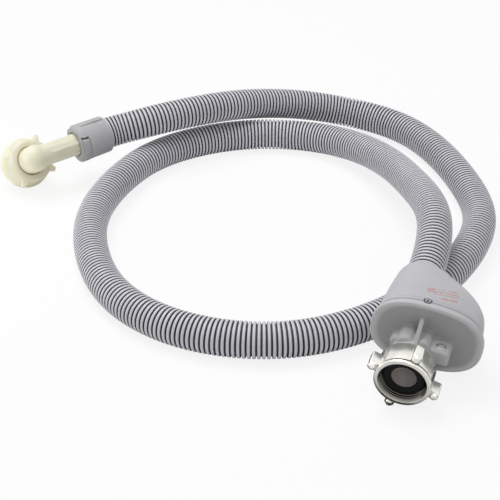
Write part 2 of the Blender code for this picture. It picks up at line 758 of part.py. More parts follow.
def make_shutoff_piston():
    """Cone-headed piston with guide fins; the cone behind its latch collar rides on the pin's tip."""
    cone_top = PISTON_APEX + PISTON_HEAD_R
    seal_low = cone_top + 0.5 * MM
    latch_low = LATCH_APEX + PISTON_STEM_R
    latch_top = LATCH_APEX + PISTON_HEAD_R
    profile = [
        (0, latch_top + 9 * MM),
        (PISTON_STEM_R - 0.4 * MM, latch_top + 9 * MM),
        (PISTON_STEM_R, latch_top + 8.6 * MM),
        (PISTON_STEM_R, latch_top + 1.2 * MM),
        (PISTON_HEAD_R, latch_top + 1.2 * MM),
        (PISTON_HEAD_R, latch_top),
        (PISTON_STEM_R, latch_low),
        (PISTON_STEM_R, seal_low + 2.4 * MM),
        (PISTON_HEAD_R, seal_low + 2.4 * MM),
        (PISTON_HEAD_R, seal_low + 1.7 * MM),
        (PISTON_HEAD_R - 0.9 * MM, seal_low + 1.7 * MM),
        (PISTON_HEAD_R - 0.9 * MM, seal_low),
        (PISTON_HEAD_R, seal_low),
        (PISTON_HEAD_R, cone_top),
        (1.6 * MM, PISTON_APEX + 1.6 * MM),
        (0, PISTON_APEX + 1.6 * MM),
    ]
    piston = turned("shutoff_piston", profile, TAP, WHITE_ACETAL, steps=SMALL_STEPS)
    fin_low = seal_low + 1.9 * MM
    fin_height = 5.0 * MM
    span = 2 * (BODY_BORE_R - SEAT_GAP - 0.1 * MM)
    for number, size in enumerate(((span, 1.4 * MM, fin_height), (1.4 * MM, span, fin_height))):
        fins = block(f"piston_fin_{number + 1}", size, (0, 0, fin_low + fin_height / 2), TAP, cutter=True)
        join(piston, fins)
    return piston


def make_piston_seal():
    low = PISTON_APEX + PISTON_HEAD_R + 0.5 * MM
    tube_r = 0.55 * MM
    ring_r = PISTON_HEAD_R - 0.9 * MM + tube_r + 0.1 * MM
    return torus("piston_seal", ring_r, tube_r, TAP, BLACK_RUBBER, (0, 0, low + 0.85 * MM))


def spring_span():
    low = LATCH_APEX + PISTON_HEAD_R + 1.2 * MM + SEAT_GAP
    high = low + 9.5 * MM
    return low, high


def make_piston_spring():
    """Coil between the piston's collar and the retainer, with its ends lying flat."""
    low, high = spring_span()
    low += SPRING_WIRE_R
    high -= SPRING_WIRE_R
    per_turn = 14
    curve = bpy.data.curves.new("piston_spring", "CURVE")
    curve.dimensions = "3D"
    curve.bevel_depth = SPRING_WIRE_R
    curve.bevel_resolution = 1
    curve.use_fill_caps = True
    line = curve.splines.new("POLY")
    total = SPRING_TURNS * per_turn
    line.points.add(total)
    for i in range(total + 1):
        angle = math.tau * i / per_turn
        x, y = SPRING_R * math.cos(angle), SPRING_R * math.sin(angle)
        line.points[i].co = (x, y, low + (high - low) * i / total, 1)
    return place("piston_spring", curve_mesh(curve, "piston_spring"), TAP, STEEL)


def make_spring_retainer():
    """Pressed ring with a hole for the water, held in the valve body's bore."""
    low = spring_span()[1] + SEAT_GAP
    profile = ring_profile(3.6 * MM, BODY_BORE_R - SEAT_GAP / 2, low, low + RETAINER_THICKNESS)
    return turned("spring_retainer", profile, TAP, STEEL, steps=ROUND_STEPS)


def make_release_pin():
    """Latch pin with a 45 degree tip and a broad head that the swelling ring pushes out."""
    head = PIN_GUIDE_END + SEAT_GAP + PAD_THICKNESS + SEAT_GAP
    profile = [
        (0, head + PIN_HEAD_THICKNESS),
        (PIN_HEAD_R - 0.4 * MM, head + PIN_HEAD_THICKNESS),
        (PIN_HEAD_R, head + PIN_HEAD_THICKNESS - 0.4 * MM),
        (PIN_HEAD_R, head),
        (PIN_R, head),
        (PIN_R, PIN_TIP + PIN_R),
        (0, PIN_TIP),
    ]
    spin = (0, math.pi / 2, 0)
    return turned("release_pin", profile, TAP, WHITE_ACETAL, (0, 0, PIN_HEIGHT), spin, SMALL_STEPS)


def make_swelling_ring():
    low = PIN_GUIDE_END + SEAT_GAP
    profile = ring_profile(PIN_R + 0.8 * MM, PIN_HEAD_R, low, low + PAD_THICKNESS)
    spin = (0, math.pi / 2, 0)
    return turned("swelling_ring", profile, TAP, FELT, (0, 0, PIN_HEIGHT), spin, SMALL_STEPS)


def lugged_nut(name, frame, material, profile, lug, turn_deg):
    """A turned nut with four lugs joined to its side; lug is its size, tip radius and front height."""
    nut = turned(name, profile, frame, material)
    width, root_r, tip_r, low, high = lug
    for number in range(LUG_COUNT):
        turn = math.radians(turn_deg) + math.tau * number / LUG_COUNT
        middle = (root_r + tip_r) / 2
        centre = (middle * math.sin(turn), middle * math.cos(turn), (low + high) / 2)
        size = (width, tip_r - root_r, high - low)
        grip = block(f"{name}_lug_{number + 1}", size, centre, frame, None, 0.9 * MM, (0, 0, -turn), True)
        join(nut, grip)
    return nut


def make_tap_nut():
    """Metal union nut: threaded socket, thin back wall behind the stem's flange, and four lugs."""
    r = TAP_NUT_R
    profile = [
        (THREAD_MOUTH_R, NUT_FRONT),
        (r - 0.3 * MM, NUT_FRONT),
        (r + 0.1 * MM, NUT_FRONT - 0.4 * MM),
        (r + 0.1 * MM, NUT_FRONT - 1.7 * MM),
        (r - 0.4 * MM, NUT_FRONT - 1.9 * MM),
        (r - 0.4 * MM, NUT_FRONT - 2.3 * MM),
        (r - 0.1 * MM, NUT_FRONT - 2.5 * MM),
        (r, NUT_BACK + 1.4 * MM),
        (r - 1.2 * MM, NUT_BACK + 0.1 * MM),
        (r - 1.6 * MM, NUT_BACK),
        (STEM_R + SEAT_GAP, NUT_BACK),
        (STEM_R + SEAT_GAP, NUT_BACK + NUT_BACK_WALL),
        (THREAD_MINOR_R, NUT_BACK + NUT_BACK_WALL),
        (THREAD_MINOR_R, NUT_FRONT - (THREAD_MOUTH_R - THREAD_MINOR_R)),
    ]
    high = NUT_FRONT - 0.5 * MM
    lug = (TAP_LUG_WIDTH, THREAD_MOUTH_R, TAP_LUG_TIP_R, high - TAP_LUG_LENGTH, high)
    return lugged_nut("tap_nut", TAP, ZINC, profile, lug, TAP_LUG_TURN_DEG)


def make_tap_washer():
    profile = ring_profile(SEAL_BORE_R, SEAL_OUTER_R, WASHER_BACK, WASHER_FRONT)
    return turned("tap_washer", profile, TAP, BLACK_RUBBER)


def make_strainer():
    """Cup-shaped strainer: a mesh front in a thin skirt that sits in the stem's bore."""
    r = SEAL_BORE_R - SEAT_GAP
    front = WASHER_FRONT - 0.3 * MM
    profile = [
        (0, front),
        (r - 0.3 * MM, front),
        (r, front - 0.3 * MM),
        (r, front - STRAINER_DEPTH),
        (r - STRAINER_WALL, front - STRAINER_DEPTH),
        (r - STRAINER_WALL, front - STRAINER_WALL),
        (0, front - STRAINER_WALL),
    ]
    return turned("tap_strainer", profile, TAP, MESH_METAL)


def make_ferrule(name, frame, start):
    """Crimped metal sleeve that clamps the pressure hose on a tail."""
    low_r = INNER_HOSE_OD / 2 + SEAT_GAP
    r = low_r + FERRULE_WALL
    high = start + FERRULE_LENGTH
    step = FERRULE_LENGTH / 5
    profile = [(r, high)]
    for i in (1, 3):
        top = high - i * step
        profile += [(r, top), (r - 0.45 * MM, top - 0.3 * step), (r - 0.45 * MM, top - 0.8 * step)]
        profile.append((r, top - 1.1 * step))
    profile += [(r, start), (low_r, start), (low_r, high)]
    return turned(name, profile, frame, BRASS, steps=24)


def make_elbow():
    """Nylon elbow: domed knee, flanged spigot for the nut, faceted leg, clip groove and barbed tail."""
    head = ELBOW_HEAD_R
    flange_back = ELBOW_FACE - ELBOW_FLANGE_THICKNESS
    profile = [
        (0, ELBOW_FACE),
        (SEAL_OUTER_R, ELBOW_FACE),
        (SEAL_OUTER_R, flange_back),
        (head, flange_back),
        (head, 0.5 * MM),
    ]
    steps = 6
    for i in range(1, steps):
        angle = math.pi / 2 * i / steps
        profile.append((head * math.cos(angle), 0.5 * MM - 0.9 * head * math.sin(angle)))
    profile.append((0, 0.5 * MM - 0.9 * head))
    elbow = turned("elbow", profile, KNEE, CREAM_NYLON)
    leg_end = ELBOW_LEG_LENGTH
    groove_end = CLIP_GROOVE_START + CLIP_THICKNESS + 2 * SEAT_GAP
    tail_start = groove_end + 1.6 * MM
    tail_end = SLEEVE_START + SLEEVE_LENGTH + 6 * MM
    tail = barbed_tail(tail_end, tail_start, TAIL_R)
    leg_profile = [(0, tail_end), (TAIL_R - 0.6 * MM, tail_end)]
    for r, z in reversed(tail[:-1]):
        leg_profile.append((r, tail_end - (z - tail_start)))
    leg_profile += [
        (TAIL_R - 0.5 * MM, tail_start),
        (ELBOW_LEG_R, tail_start),
        (ELBOW_LEG_R, groove_end),
        (CLIP_GROOVE_R, groove_end),
        (CLIP_GROOVE_R, leg_end),
        (ELBOW_LEG_R, leg_end),
        (ELBOW_LEG_R, 0),
        (0, 0),
    ]
    join(elbow, turned("elbow_leg_outer", leg_profile, LEG, steps=ELBOW_LEG_SIDES * 2, cutter=True))
    for number in range(6):
        turn = math.tau * (number + 0.5) / 6
        reach = ELBOW_LEG_R - 0.1 * MM
        size = (1.5 * MM, 1.1 * MM, ELBOW_LEG_LENGTH - 12 * MM)
        centre = (reach * math.cos(turn), reach * math.sin(turn), 10 * MM + size[2] / 2)
        spin = (0, 0, turn - math.pi / 2)
        join(elbow, block(f"leg_rib_{number + 1}", size, centre, LEG, None, 0.3 * MM, spin, True))
    down_bore = rod_profile(ELBOW_BORE_R, -0.35 * head, ELBOW_FACE + 1 * MM)
    cut(elbow, turned("down_bore", down_bore, KNEE, cutter=True, steps=SMALL_STEPS))
    leg_bore = [
        (0, tail_end + 1 * MM),
        (TAIL_BORE_R, tail_end + 1 * MM),
        (TAIL_BORE_R, leg_end - 6 * MM),
        (ELBOW_BORE_R - 0.4 * MM, leg_end - 8 * MM),
        (ELBOW_BORE_R - 0.4 * MM, 0),
        (0, 0),
    ]
    cut(elbow, turned("leg_bore", leg_bore, LEG, cutter=True, steps=SMALL_STEPS))
    return elbow


ELBOW_NUT_FRONT = ELBOW_FACE + SEAT_GAP + SEAL_THICKNESS + ELBOW_NUT_FRONT_DEPTH
ELBOW_NUT_BACK = ELBOW_NUT_FRONT - ELBOW_NUT_LENGTH


def make_elbow_nut():
    """Moulded nylon nut: a flared rim, a sloping back and four small lugs."""
    front, back = ELBOW_NUT_FRONT, ELBOW_NUT_BACK
    profile = [
        (THREAD_MOUTH_R, front),
        (ELBOW_NUT_R - 0.6 * MM, front),
        (ELBOW_NUT_R, front - 0.6 * MM),
        (ELBOW_NUT_R, front - 4.4 * MM),
        (ELBOW_NUT_R - 0.6 * MM, front - 5.2 * MM),
        (ELBOW_NUT_BACK_R, back + 2.4 * MM),
        (ELBOW_NUT_BACK_R - 1.0 * MM, back + 0.6 * MM),
        (ELBOW_NUT_BACK_R - 2.4 * MM, back),
        (ELBOW_HEAD_R + 2 * SEAT_GAP, back),
        (ELBOW_HEAD_R + 2 * SEAT_GAP, back + NUT_BACK_WALL),
        (THREAD_MINOR_R, back + NUT_BACK_WALL),
        (THREAD_MINOR_R, front - (THREAD_MOUTH_R - THREAD_MINOR_R)),
    ]
    low = back + 1.2 * MM
    lug = (ELBOW_LUG_WIDTH, THREAD_MOUTH_R, ELBOW_LUG_TIP_R, low, low + ELBOW_LUG_LENGTH)
    return lugged_nut("elbow_nut", KNEE, CREAM_NYLON, profile, lug, ELBOW_LUG_TURN_DEG)


def make_elbow_washer():
    low = ELBOW_FACE + SEAT_GAP
    profile = ring_profile(SEAL_BORE_R, SEAL_OUTER_R, low, low + SEAL_THICKNESS)
    return turned("elbow_washer", profile, KNEE, BLACK_RUBBER)


def sleeve_radius():
    return HOSE_OD / 2 + SEAT_GAP + SLEEVE_WALL


def make_elbow_sleeve():
    """Snap sleeve over the joint of elbow and hose, with a keel below, a low rib on top and a clip slot."""
    r = sleeve_radius()
    start, end = SLEEVE_START, SLEEVE_START + SLEEVE_LENGTH
    bore = HOSE_OD / 2 + SEAT_GAP
    profile = [
        (bore, end),
        (r - 0.4 * MM, end),
        (r, end - 0.5 * MM),
        (r + 0.4 * MM, start + 3.2 * MM),
        (r - 0.2 * MM, start + 1.4 * MM),
        (r - 1.2 * MM, start + 0.4 * MM),
        (r - 2.4 * MM, start),
        (ELBOW_LEG_R + 3 * SEAT_GAP, start),
        (ELBOW_LEG_R + 3 * SEAT_GAP, start + SLEEVE_FRONT_WALL),
        (bore, start + SLEEVE_FRONT_WALL),
    ]
    sleeve = turned("elbow_sleeve", profile, LEG, GREY_MOULDED)
    keel_width, keel_height = SLEEVE_KEEL
    clip_end = CLIP_GROOVE_START + CLIP_THICKNESS + 2 * SEAT_GAP
    for side, height, width in ((-1, keel_height, keel_width), (1, 0.6 * keel_height, 1.6 * keel_width)):
        length = end - clip_end - 2.4 * MM
        middle = clip_end + 0.8 * MM + length / 2
        sunk = 0.5 * SLEEVE_WALL
        size = (width, height + sunk, length)
        centre = (0, side * (r + (height - sunk) / 2), middle)
        name = "sleeve_keel" if side < 0 else "sleeve_top_rib"
        join(sleeve, block(name, size, centre, LEG, rounding=0.5 * MM, cutter=True))
    slot_size = (4 * r, 2 * r, CLIP_THICKNESS + 2 * SEAT_GAP)
    slot_top = 0.12 * r + CLIP_SLOT_GAP
    slot_centre = (0, slot_top - r, CLIP_GROOVE_START + slot_size[2] / 2)
    cut(sleeve, block("clip_slot", slot_size, slot_centre, LEG, cutter=True))
    return sleeve


def make_retaining_clip():
    """Horseshoe clip pushed up through the sleeve's slot into the elbow's groove."""
    r = sleeve_radius() + CLIP_PROUD
    slot_top = 0.12 * sleeve_radius() - SEAT_GAP
    inner = CLIP_GROOVE_R + SEAT_GAP
    outline = []
    start = math.asin(slot_top / r)
    count = 20
    for i in range(count + 1):
        angle = start - (math.pi + 2 * start) * i / count
        outline.append((r * math.cos(angle), r * math.sin(angle)))
    for i in range(count // 2 + 1):
        angle = math.pi + math.pi * i / (count // 2)
        outline.append((inner * math.cos(angle), inner * math.sin(angle)))
    outline.insert(count + 1, (-inner, slot_top))
    outline.append((inner, slot_top))
    middle = CLIP_GROOVE_START + SEAT_GAP + CLIP_THICKNESS / 2
    clip = plate("retaining_clip", outline, CLIP_THICKNESS, LEG, GREY_MOULDED, (0, 0, middle))
    soften(clip, 0.4 * MM, 1)
    return clip


def natural_spline(points, step):
    """Points about step apart on the natural cubic curve through the given ones."""
    knots = np.array(points, float)
    along = np.concatenate([[0], np.cumsum(np.linalg.norm(np.diff(knots, axis=0), axis=1))])
    gaps = np.diff(along)
    count = len(knots)
    matrix = np.eye(count)
    right = np.zeros((count, 3))
    for i in range(1, count - 1):
        matrix[i, i - 1 : i + 2] = (gaps[i - 1], 2 * (gaps[i - 1] + gaps[i]), gaps[i])
        slope_after = (knots[i + 1] - knots[i]) / gaps[i]
        slope_before = (knots[i] - knots[i - 1]) / gaps[i - 1]
        right[i] = 6 * (slope_after - slope_before)
    bend = np.linalg.solve(matrix, right)
    fine = np.linspace(0, along[-1], max(2, int(along[-1] / (step / 12))))
    span = np.clip(np.searchsorted(along, fine, side="right") - 1, 0, count - 2)
    size = gaps[span][:, None]
    ahead = (along[span + 1] - fine)[:, None]
    behind = (fine - along[span])[:, None]
    curve = (
        (bend[span] * ahead**3 + bend[span + 1] * behind**3) / (6 * size)
        + (knots[span] / size - bend[span] * size / 6) * ahead
        + (knots[span + 1] / size - bend[span + 1] * size / 6) * behind
    )
    run = np.concatenate([[0], np.cumsum(np.linalg.norm(np.diff(curve, axis=0), axis=1))])
    at = np.linspace(0, run[-1], round(run[-1] / step) + 1)
    return [Vector([np.interp(d, run, curve[:, k]) for k in range(3)]) for d in at]


def hose_route():
    """The free run from just outside the sleeve's mouth to just outside the neck's mouth."""
    bpy.context.view_layer.update()
    sleeve_mouth = LEG.matrix_world @ Vector((0, 0, SLEEVE_START + SLEEVE_LENGTH + STRAIGHT_LEAD))
    neck_mouth = TAP.matrix_world @ Vector((*NECK_CENTRE, -STRAIGHT_LEAD))
    chosen = [Vector(p) * MM for p in ROUTE_MM]
    return natural_spline([sleeve_mouth, *chosen, neck_mouth], HOSE_POINT_STEP)


def hose_tube(name, points, outer_d, wall, resolution, material):
    """A hollow tube along the points: an open skin of the outer size with the wall inside it."""
    curve = bpy.data.curves.new(name, "CURVE")
    curve.dimensions = "3D"
    curve.bevel_depth = outer_d / 2
    curve.bevel_resolution = resolution
    line = curve.splines.new("POLY")
    line.points.add(len(points) - 1)
    for point, where in zip(line.points, points):
        point.co = (*where, 1)
    tube = bpy.data.objects.new(name, curve_mesh(curve, name))
    PARTS.objects.link(tube)
    tube.data.materials.append(material)
    shell = tube.modifiers.new("wall", "SOLIDIFY")
    shell.thickness = wall
    shell.offset = -1
    return tube


def make_hoses():
    route = hose_route()
    neck_seat = TAP.matrix_world @ Vector((*NECK_CENTRE, NECK_SOCKET_DEPTH - SEAT_GAP))
    sleeve_seat = LEG.matrix_world @ Vector((0, 0, SLEEVE_START + SLEEVE_LENGTH - SLEEVE_SOCKET_DEPTH))
    outer = [sleeve_seat, *route, neck_seat]
    hose_tube("corrugated_hose", outer, HOSE_OD, HOSE_WALL, 4, GREY_HOSE)
    neck_inside = TAP.matrix_world @ Vector((*NECK_CENTRE, 0.6 * NECK_SOCKET_DEPTH))
    tail_bend = TAIL.matrix_world @ Vector((0, 0, -TAIL_LENGTH - 3 * MM))
    tail_root = TAIL.matrix_world @ Vector((0, 0, -TAIL_HOSE_GAP))
    elbow_root_height = CLIP_GROOVE_START + CLIP_THICKNESS + 2 * SEAT_GAP + 1.6 * MM + SEAT_GAP
    elbow_root = LEG.matrix_world @ Vector((0, 0, elbow_root_height))
    inner = [elbow_root, *route, neck_inside, tail_bend, tail_root]
    hose_tube("inner_hose", inner, INNER_HOSE_OD, INNER_HOSE_WALL, 4, REINFORCED_HOSE)


make_housing_shell()
make_front_cover()
make_cover_screw()
make_valve_body()
make_stem_seal()
make_pin_seal()
make_shutoff_piston()
make_piston_seal()
make_piston_spring()
make_spring_retainer()
make_release_pin()
make_swelling_ring()
make_tap_nut()
make_tap_washer()
make_strainer()
make_ferrule("tap_ferrule", TAIL, -TAIL_HOSE_GAP - 0.8 * MM - FERRULE_LENGTH)
make_elbow()
make_elbow_nut()
make_elbow_washer()
make_elbow_sleeve()
make_retaining_clip()
make_ferrule("elbow_ferrule", LEG, CLIP_GROOVE_START + CLIP_THICKNESS + 4 * MM)
make_hoses()
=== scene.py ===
"""Looks of the washing machine inlet hose over its CAD frame: the hose, the tap end, then the elbow end."""

import math

import bpy
import numpy as np
from mathutils import Matrix, Vector


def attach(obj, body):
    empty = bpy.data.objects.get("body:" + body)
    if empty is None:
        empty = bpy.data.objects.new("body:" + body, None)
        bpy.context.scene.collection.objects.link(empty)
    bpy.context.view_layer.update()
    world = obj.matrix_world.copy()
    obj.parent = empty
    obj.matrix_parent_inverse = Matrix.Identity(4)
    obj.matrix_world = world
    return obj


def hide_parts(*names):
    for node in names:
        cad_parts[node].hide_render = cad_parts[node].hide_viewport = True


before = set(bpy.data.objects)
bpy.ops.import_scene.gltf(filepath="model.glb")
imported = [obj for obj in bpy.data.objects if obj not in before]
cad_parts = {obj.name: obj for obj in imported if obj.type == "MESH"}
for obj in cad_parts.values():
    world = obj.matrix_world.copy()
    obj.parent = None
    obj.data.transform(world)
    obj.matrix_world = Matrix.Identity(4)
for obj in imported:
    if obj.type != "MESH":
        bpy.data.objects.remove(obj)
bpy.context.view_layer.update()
MM = 0.001

# The camera stands in front of the loop and looks down on it at 30 degrees, as a product camera on a
# tripod does, with a long lens that keeps both ends of the hose at nearly the same scale.
camera = bpy.data.objects.new("photo_camera", bpy.data.cameras.new("photo_camera"))
bpy.context.scene.collection.objects.link(camera)
camera.location = (0.022, -0.780, 0.468)
camera.rotation_euler = (math.radians(60.0), 0.0, 0.0)
PICTURE_WIDTH, FOCAL_LENGTH = 500.0, 1427.0  # pixels
camera.data.sensor_width = 36.0
camera.data.lens = FOCAL_LENGTH / PICTURE_WIDTH * 36.0
camera.data.clip_start = 0.05
bpy.context.scene.camera = camera


# Corrugated outer hose: blow-moulded grey polypropylene, about 440 round ridges with narrow grooves between
# them, so that it bends without kinking. It slides over the pressure hose and is held in the sleeve's
# mouth at one end and in the housing's neck at the other.
def axes_at(origin, z_axis, x_axis):
    """The place of a frame whose Z and X lie along the given directions."""
    z = Vector(z_axis).normalized()
    x = (Vector(x_axis) - Vector(x_axis).dot(z) * z).normalized()
    return Matrix.Translation(origin) @ Matrix((x, z.cross(x), z)).transposed().to_4x4()


# the elbow's leg runs up the hose from the knee, and the tap end's Z runs out of its nut
LEG_TURN, LEG_RISE = math.radians(35.0), math.radians(3.84)
leg_direction = Vector(
    (math.cos(LEG_TURN) * math.cos(LEG_RISE), math.sin(LEG_TURN) * math.cos(LEG_RISE), math.sin(LEG_RISE))
)
ELBOW_AT = (-0.1266, 0.1097, 0.0279)
elbow_leg = axes_at(ELBOW_AT, leg_direction, Vector((0, 0, 1)).cross(leg_direction))
TAP_AT = (0.1322, -0.0601, 0.0329)
TAP_OUTWARD, TAP_RIGHT = (-0.30107423, -0.94339025, -0.1391731), (0.94862289, -0.2814031, -0.14466136)
tap_end = axes_at(TAP_AT, TAP_OUTWARD, TAP_RIGHT)
NECK_CENTRE = (-7.6, -1.1)  # millimetres
HOSE_D = 22.0 * MM
HOSE_BORE_R = 9.2 * MM
HOSE_SIDES = 26
BORE_RINGS = 200
RIDGE_PITCH, RIDGE_STRETCH = 2.75 * MM, 0.16
GROOVE_DEPTH = 1.5
# how far a ridge's points lie below its top, and how far along the pitch
RIDGE = (
    (GROOVE_DEPTH, 0.11), (1.0, 0.155), (0.22, 0.20), (0.0, 0.34),
    (0.0, 0.66), (0.22, 0.80), (1.0, 0.845), (GROOVE_DEPTH, 0.89),
)  # fmt: skip
# millimetres, from the elbow's sleeve to the housing's neck
HOSE_ROUTE = (
    (-68, 147, 33.5), (-53, 152, 35.5), (-36, 160, 36.5), (-10, 174, 36), (11, 187, 33.5), (33, 200, 29),
    (60, 211, 23), (95, 215, 15.5), (128, 202, 11.6), (158, 154, 11.2), (172, 101, 11.2), (175, 55, 11.2),
    (165, 18, 11.2), (135, -33, 11.2), (93, -72.5, 11.2), (45, -92, 11.2), (1, -89, 11.2), (-37, -69, 11.2),
    (-61, -41, 11.2), (-78, 4, 11.2), (-83, 51, 11.2), (-68, 112, 11.2), (-47, 147, 11.2), (-10, 174, 11.2),
    (33, 184, 11.2), (75, 175, 12), (111, 131, 20), (131, 61, 32), (137, -1, 39),
)  # fmt: skip


def distances_along(line):
    """How far along the line each of its points lies."""
    return np.concatenate([[0], np.cumsum(np.linalg.norm(np.diff(line, axis=0), axis=1))])


def smooth_line(points, count_of_points=12000):
    """The natural cubic curve through the points, as many close points."""
    knots = np.array(points, float)
    along = distances_along(knots)
    gaps = np.diff(along)
    count = len(knots)
    matrix = np.eye(count)
    right = np.zeros((count, 3))
    for i in range(1, count - 1):
        matrix[i, i - 1 : i + 2] = (gaps[i - 1], 2 * (gaps[i - 1] + gaps[i]), gaps[i])
        right[i] = 6 * ((knots[i + 1] - knots[i]) / gaps[i] - (knots[i] - knots[i - 1]) / gaps[i - 1])
    bend = np.linalg.solve(matrix, right)
    fine = np.linspace(0, along[-1], count_of_points)
    span = np.clip(np.searchsorted(along, fine, side="right") - 1, 0, count - 2)
    size = gaps[span][:, None]
    ahead = (along[span + 1] - fine)[:, None]
    behind = (fine - along[span])[:, None]
    curve = (bend[span] * ahead**3 + bend[span + 1] * behind**3) / (6 * size)
    curve += (knots[span] / size - bend[span] * size / 6) * ahead
    curve += (knots[span + 1] / size - bend[span + 1] * size / 6) * behind
    return curve


def rings_along(line, tangent, radii, sides):
    """One ring of points for each point of the line, turned as little as possible from ring to ring."""
    side = np.cross(tangent[0], (0, 0, 1.0))
    side /= np.linalg.norm(side)
    angles = np.linspace(0, 2 * np.pi, sides, endpoint=False)
    rings = []
    for where, ahead, radius in zip(line, tangent, radii):
        side = side - np.dot(side, ahead) * ahead
        side /= np.linalg.norm(side)
        other = np.cross(ahead, side)
        turn = np.cos(angles)[:, None] * side + np.sin(angles)[:, None] * other
        rings.append(where + radius * turn)
    return rings


def skin_of_rings(rings):
    """Vertices and quads of a tube through the rings, joined from the last ring back to the first."""
    sides = len(rings[0])
    count = len(rings)
    quads = []
    for k in range(count):
        low, high = k * sides, ((k + 1) % count) * sides
        for i in range(sides):
            j = (i + 1) % sides
            quads.append((low + i, low + j, high + j, high + i))
    return np.concatenate(rings), quads


hose_knots = [elbow_leg @ Vector((0, 0, z * MM)) for z in (47.2, 54.0, 61.2)]
hose_knots += [Vector(p) * MM for p in HOSE_ROUTE]
hose_knots += [tap_end @ Vector([v * MM for v in (*NECK_CENTRE, z)]) for z in (-6.0, 1.0, 8.3)]
hose_line = smooth_line(hose_knots)
# the pressure hose inside rounds off every turn, so the ridges never fold over each other
ROUNDING = 160  # points of the line on either side
window = np.hanning(2 * ROUNDING + 1) / np.hanning(2 * ROUNDING + 1).sum()
hose_line = np.pad(hose_line, ((ROUNDING, ROUNDING), (0, 0)), mode="reflect", reflect_type="odd")
hose_line = np.stack([np.convolve(hose_line[:, k], window, mode="valid") for k in range(3)], 1)
hose_tangent = np.gradient(hose_line, axis=0)
hose_tangent /= np.linalg.norm(hose_tangent, axis=1)[:, None]
hose_run = distances_along(hose_line)
# the hose is drawn out a little where it runs from front to back, and the ridges lie further apart there
pitch = RIDGE_PITCH * (1 + RIDGE_STRETCH * hose_tangent[:, 1] ** 2)
ridges_passed = np.concatenate([[0], np.cumsum(np.diff(hose_run) / pitch[1:])])
ridge_count = int(ridges_passed[-1])
outer_at = np.array([k + part for k in range(ridge_count) for _, part in RIDGE])
outer_at = np.interp(outer_at, ridges_passed, hose_run)
outer_below = np.array([below for _ in range(ridge_count) for below, _ in RIDGE])
inner_at = np.linspace(outer_at[-1], outer_at[0], BORE_RINGS)


def on_hose(at):
    """Centre-line points and directions at the given distances along the hose."""
    where = np.stack([np.interp(at, hose_run, hose_line[:, k]) for k in range(3)], 1)
    ahead = np.stack([np.interp(at, hose_run, hose_tangent[:, k]) for k in range(3)], 1)
    return where, ahead / np.linalg.norm(ahead, axis=1)[:, None]


outer_where, outer_ahead = on_hose(outer_at)
outer_rings = rings_along(outer_where, outer_ahead, HOSE_D / 2 - outer_below * MM, HOSE_SIDES)
inner_where, inner_ahead = on_hose(inner_at[::-1])
inner_rings = rings_along(inner_where, inner_ahead, np.full(len(inner_at), HOSE_BORE_R), HOSE_SIDES)[::-1]
points, quads = skin_of_rings(outer_rings + inner_rings)
hose_mesh = bpy.data.meshes.new("corrugated_outer_hose")
hose_mesh.from_pydata(points.tolist(), [], quads)
# the groove attribute holds how deep each ring lies, and drives the painted shade in the grooves
groove = hose_mesh.attributes.new("groove", "FLOAT", "POINT")
depths = np.concatenate([np.repeat(outer_below / GROOVE_DEPTH, HOSE_SIDES), np.ones(BORE_RINGS * HOSE_SIDES)])
groove.data.foreach_set("value", depths)
hose_mesh.shade_smooth()
outer_hose = bpy.data.objects.new("corrugated_outer_hose", hose_mesh)
bpy.context.scene.collection.objects.link(outer_hose)


def grain_group():
    """Fine grain for the height of a bump, and a slow blotch for colour and gloss."""
    tree = bpy.data.node_groups.new("moulding_grain", "ShaderNodeTree")
    for name, kind, value in (
        ("Vector", "NodeSocketVector", None),
        ("Grain Scale", "NodeSocketFloat", 900.0),
        ("Blotch Scale", "NodeSocketFloat", 60.0),
    ):
        socket = tree.interface.new_socket(name, in_out="INPUT", socket_type=kind)
        if value is not None:
            socket.default_value = value
    tree.interface.new_socket("Height", in_out="OUTPUT", socket_type="NodeSocketFloat")
    tree.interface.new_socket("Blotch", in_out="OUTPUT", socket_type="NodeSocketFloat")
    inside = tree.nodes.new("NodeGroupInput")
    outside = tree.nodes.new("NodeGroupOutput")
    grain = tree.nodes.new("ShaderNodeTexNoise")
    grain.inputs["Detail"].default_value = 3.0
    blotch = tree.nodes.new("ShaderNodeTexNoise")
    blotch.inputs["Detail"].default_value = 4.0
    blotch.inputs["Roughness"].default_value = 0.6
    spread = tree.nodes.new("ShaderNodeMapRange")
    spread.inputs["From Min"].default_value = 0.32
    spread.inputs["From Max"].default_value = 0.68
    tree.links.new(inside.outputs["Vector"], grain.inputs["Vector"])
    tree.links.new(inside.outputs["Vector"], blotch.inputs["Vector"])
    tree.links.new(inside.outputs["Grain Scale"], grain.inputs["Scale"])
    tree.links.new(inside.outputs["Blotch Scale"], blotch.inputs["Scale"])
    tree.links.new(grain.outputs["Fac"], outside.inputs["Height"])
    tree.links.new(blotch.outputs["Fac"], spread.inputs["Value"])
    tree.links.new(spread.outputs["Result"], outside.inputs["Blotch"])
    return tree


MOULDING_GRAIN = grain_group()


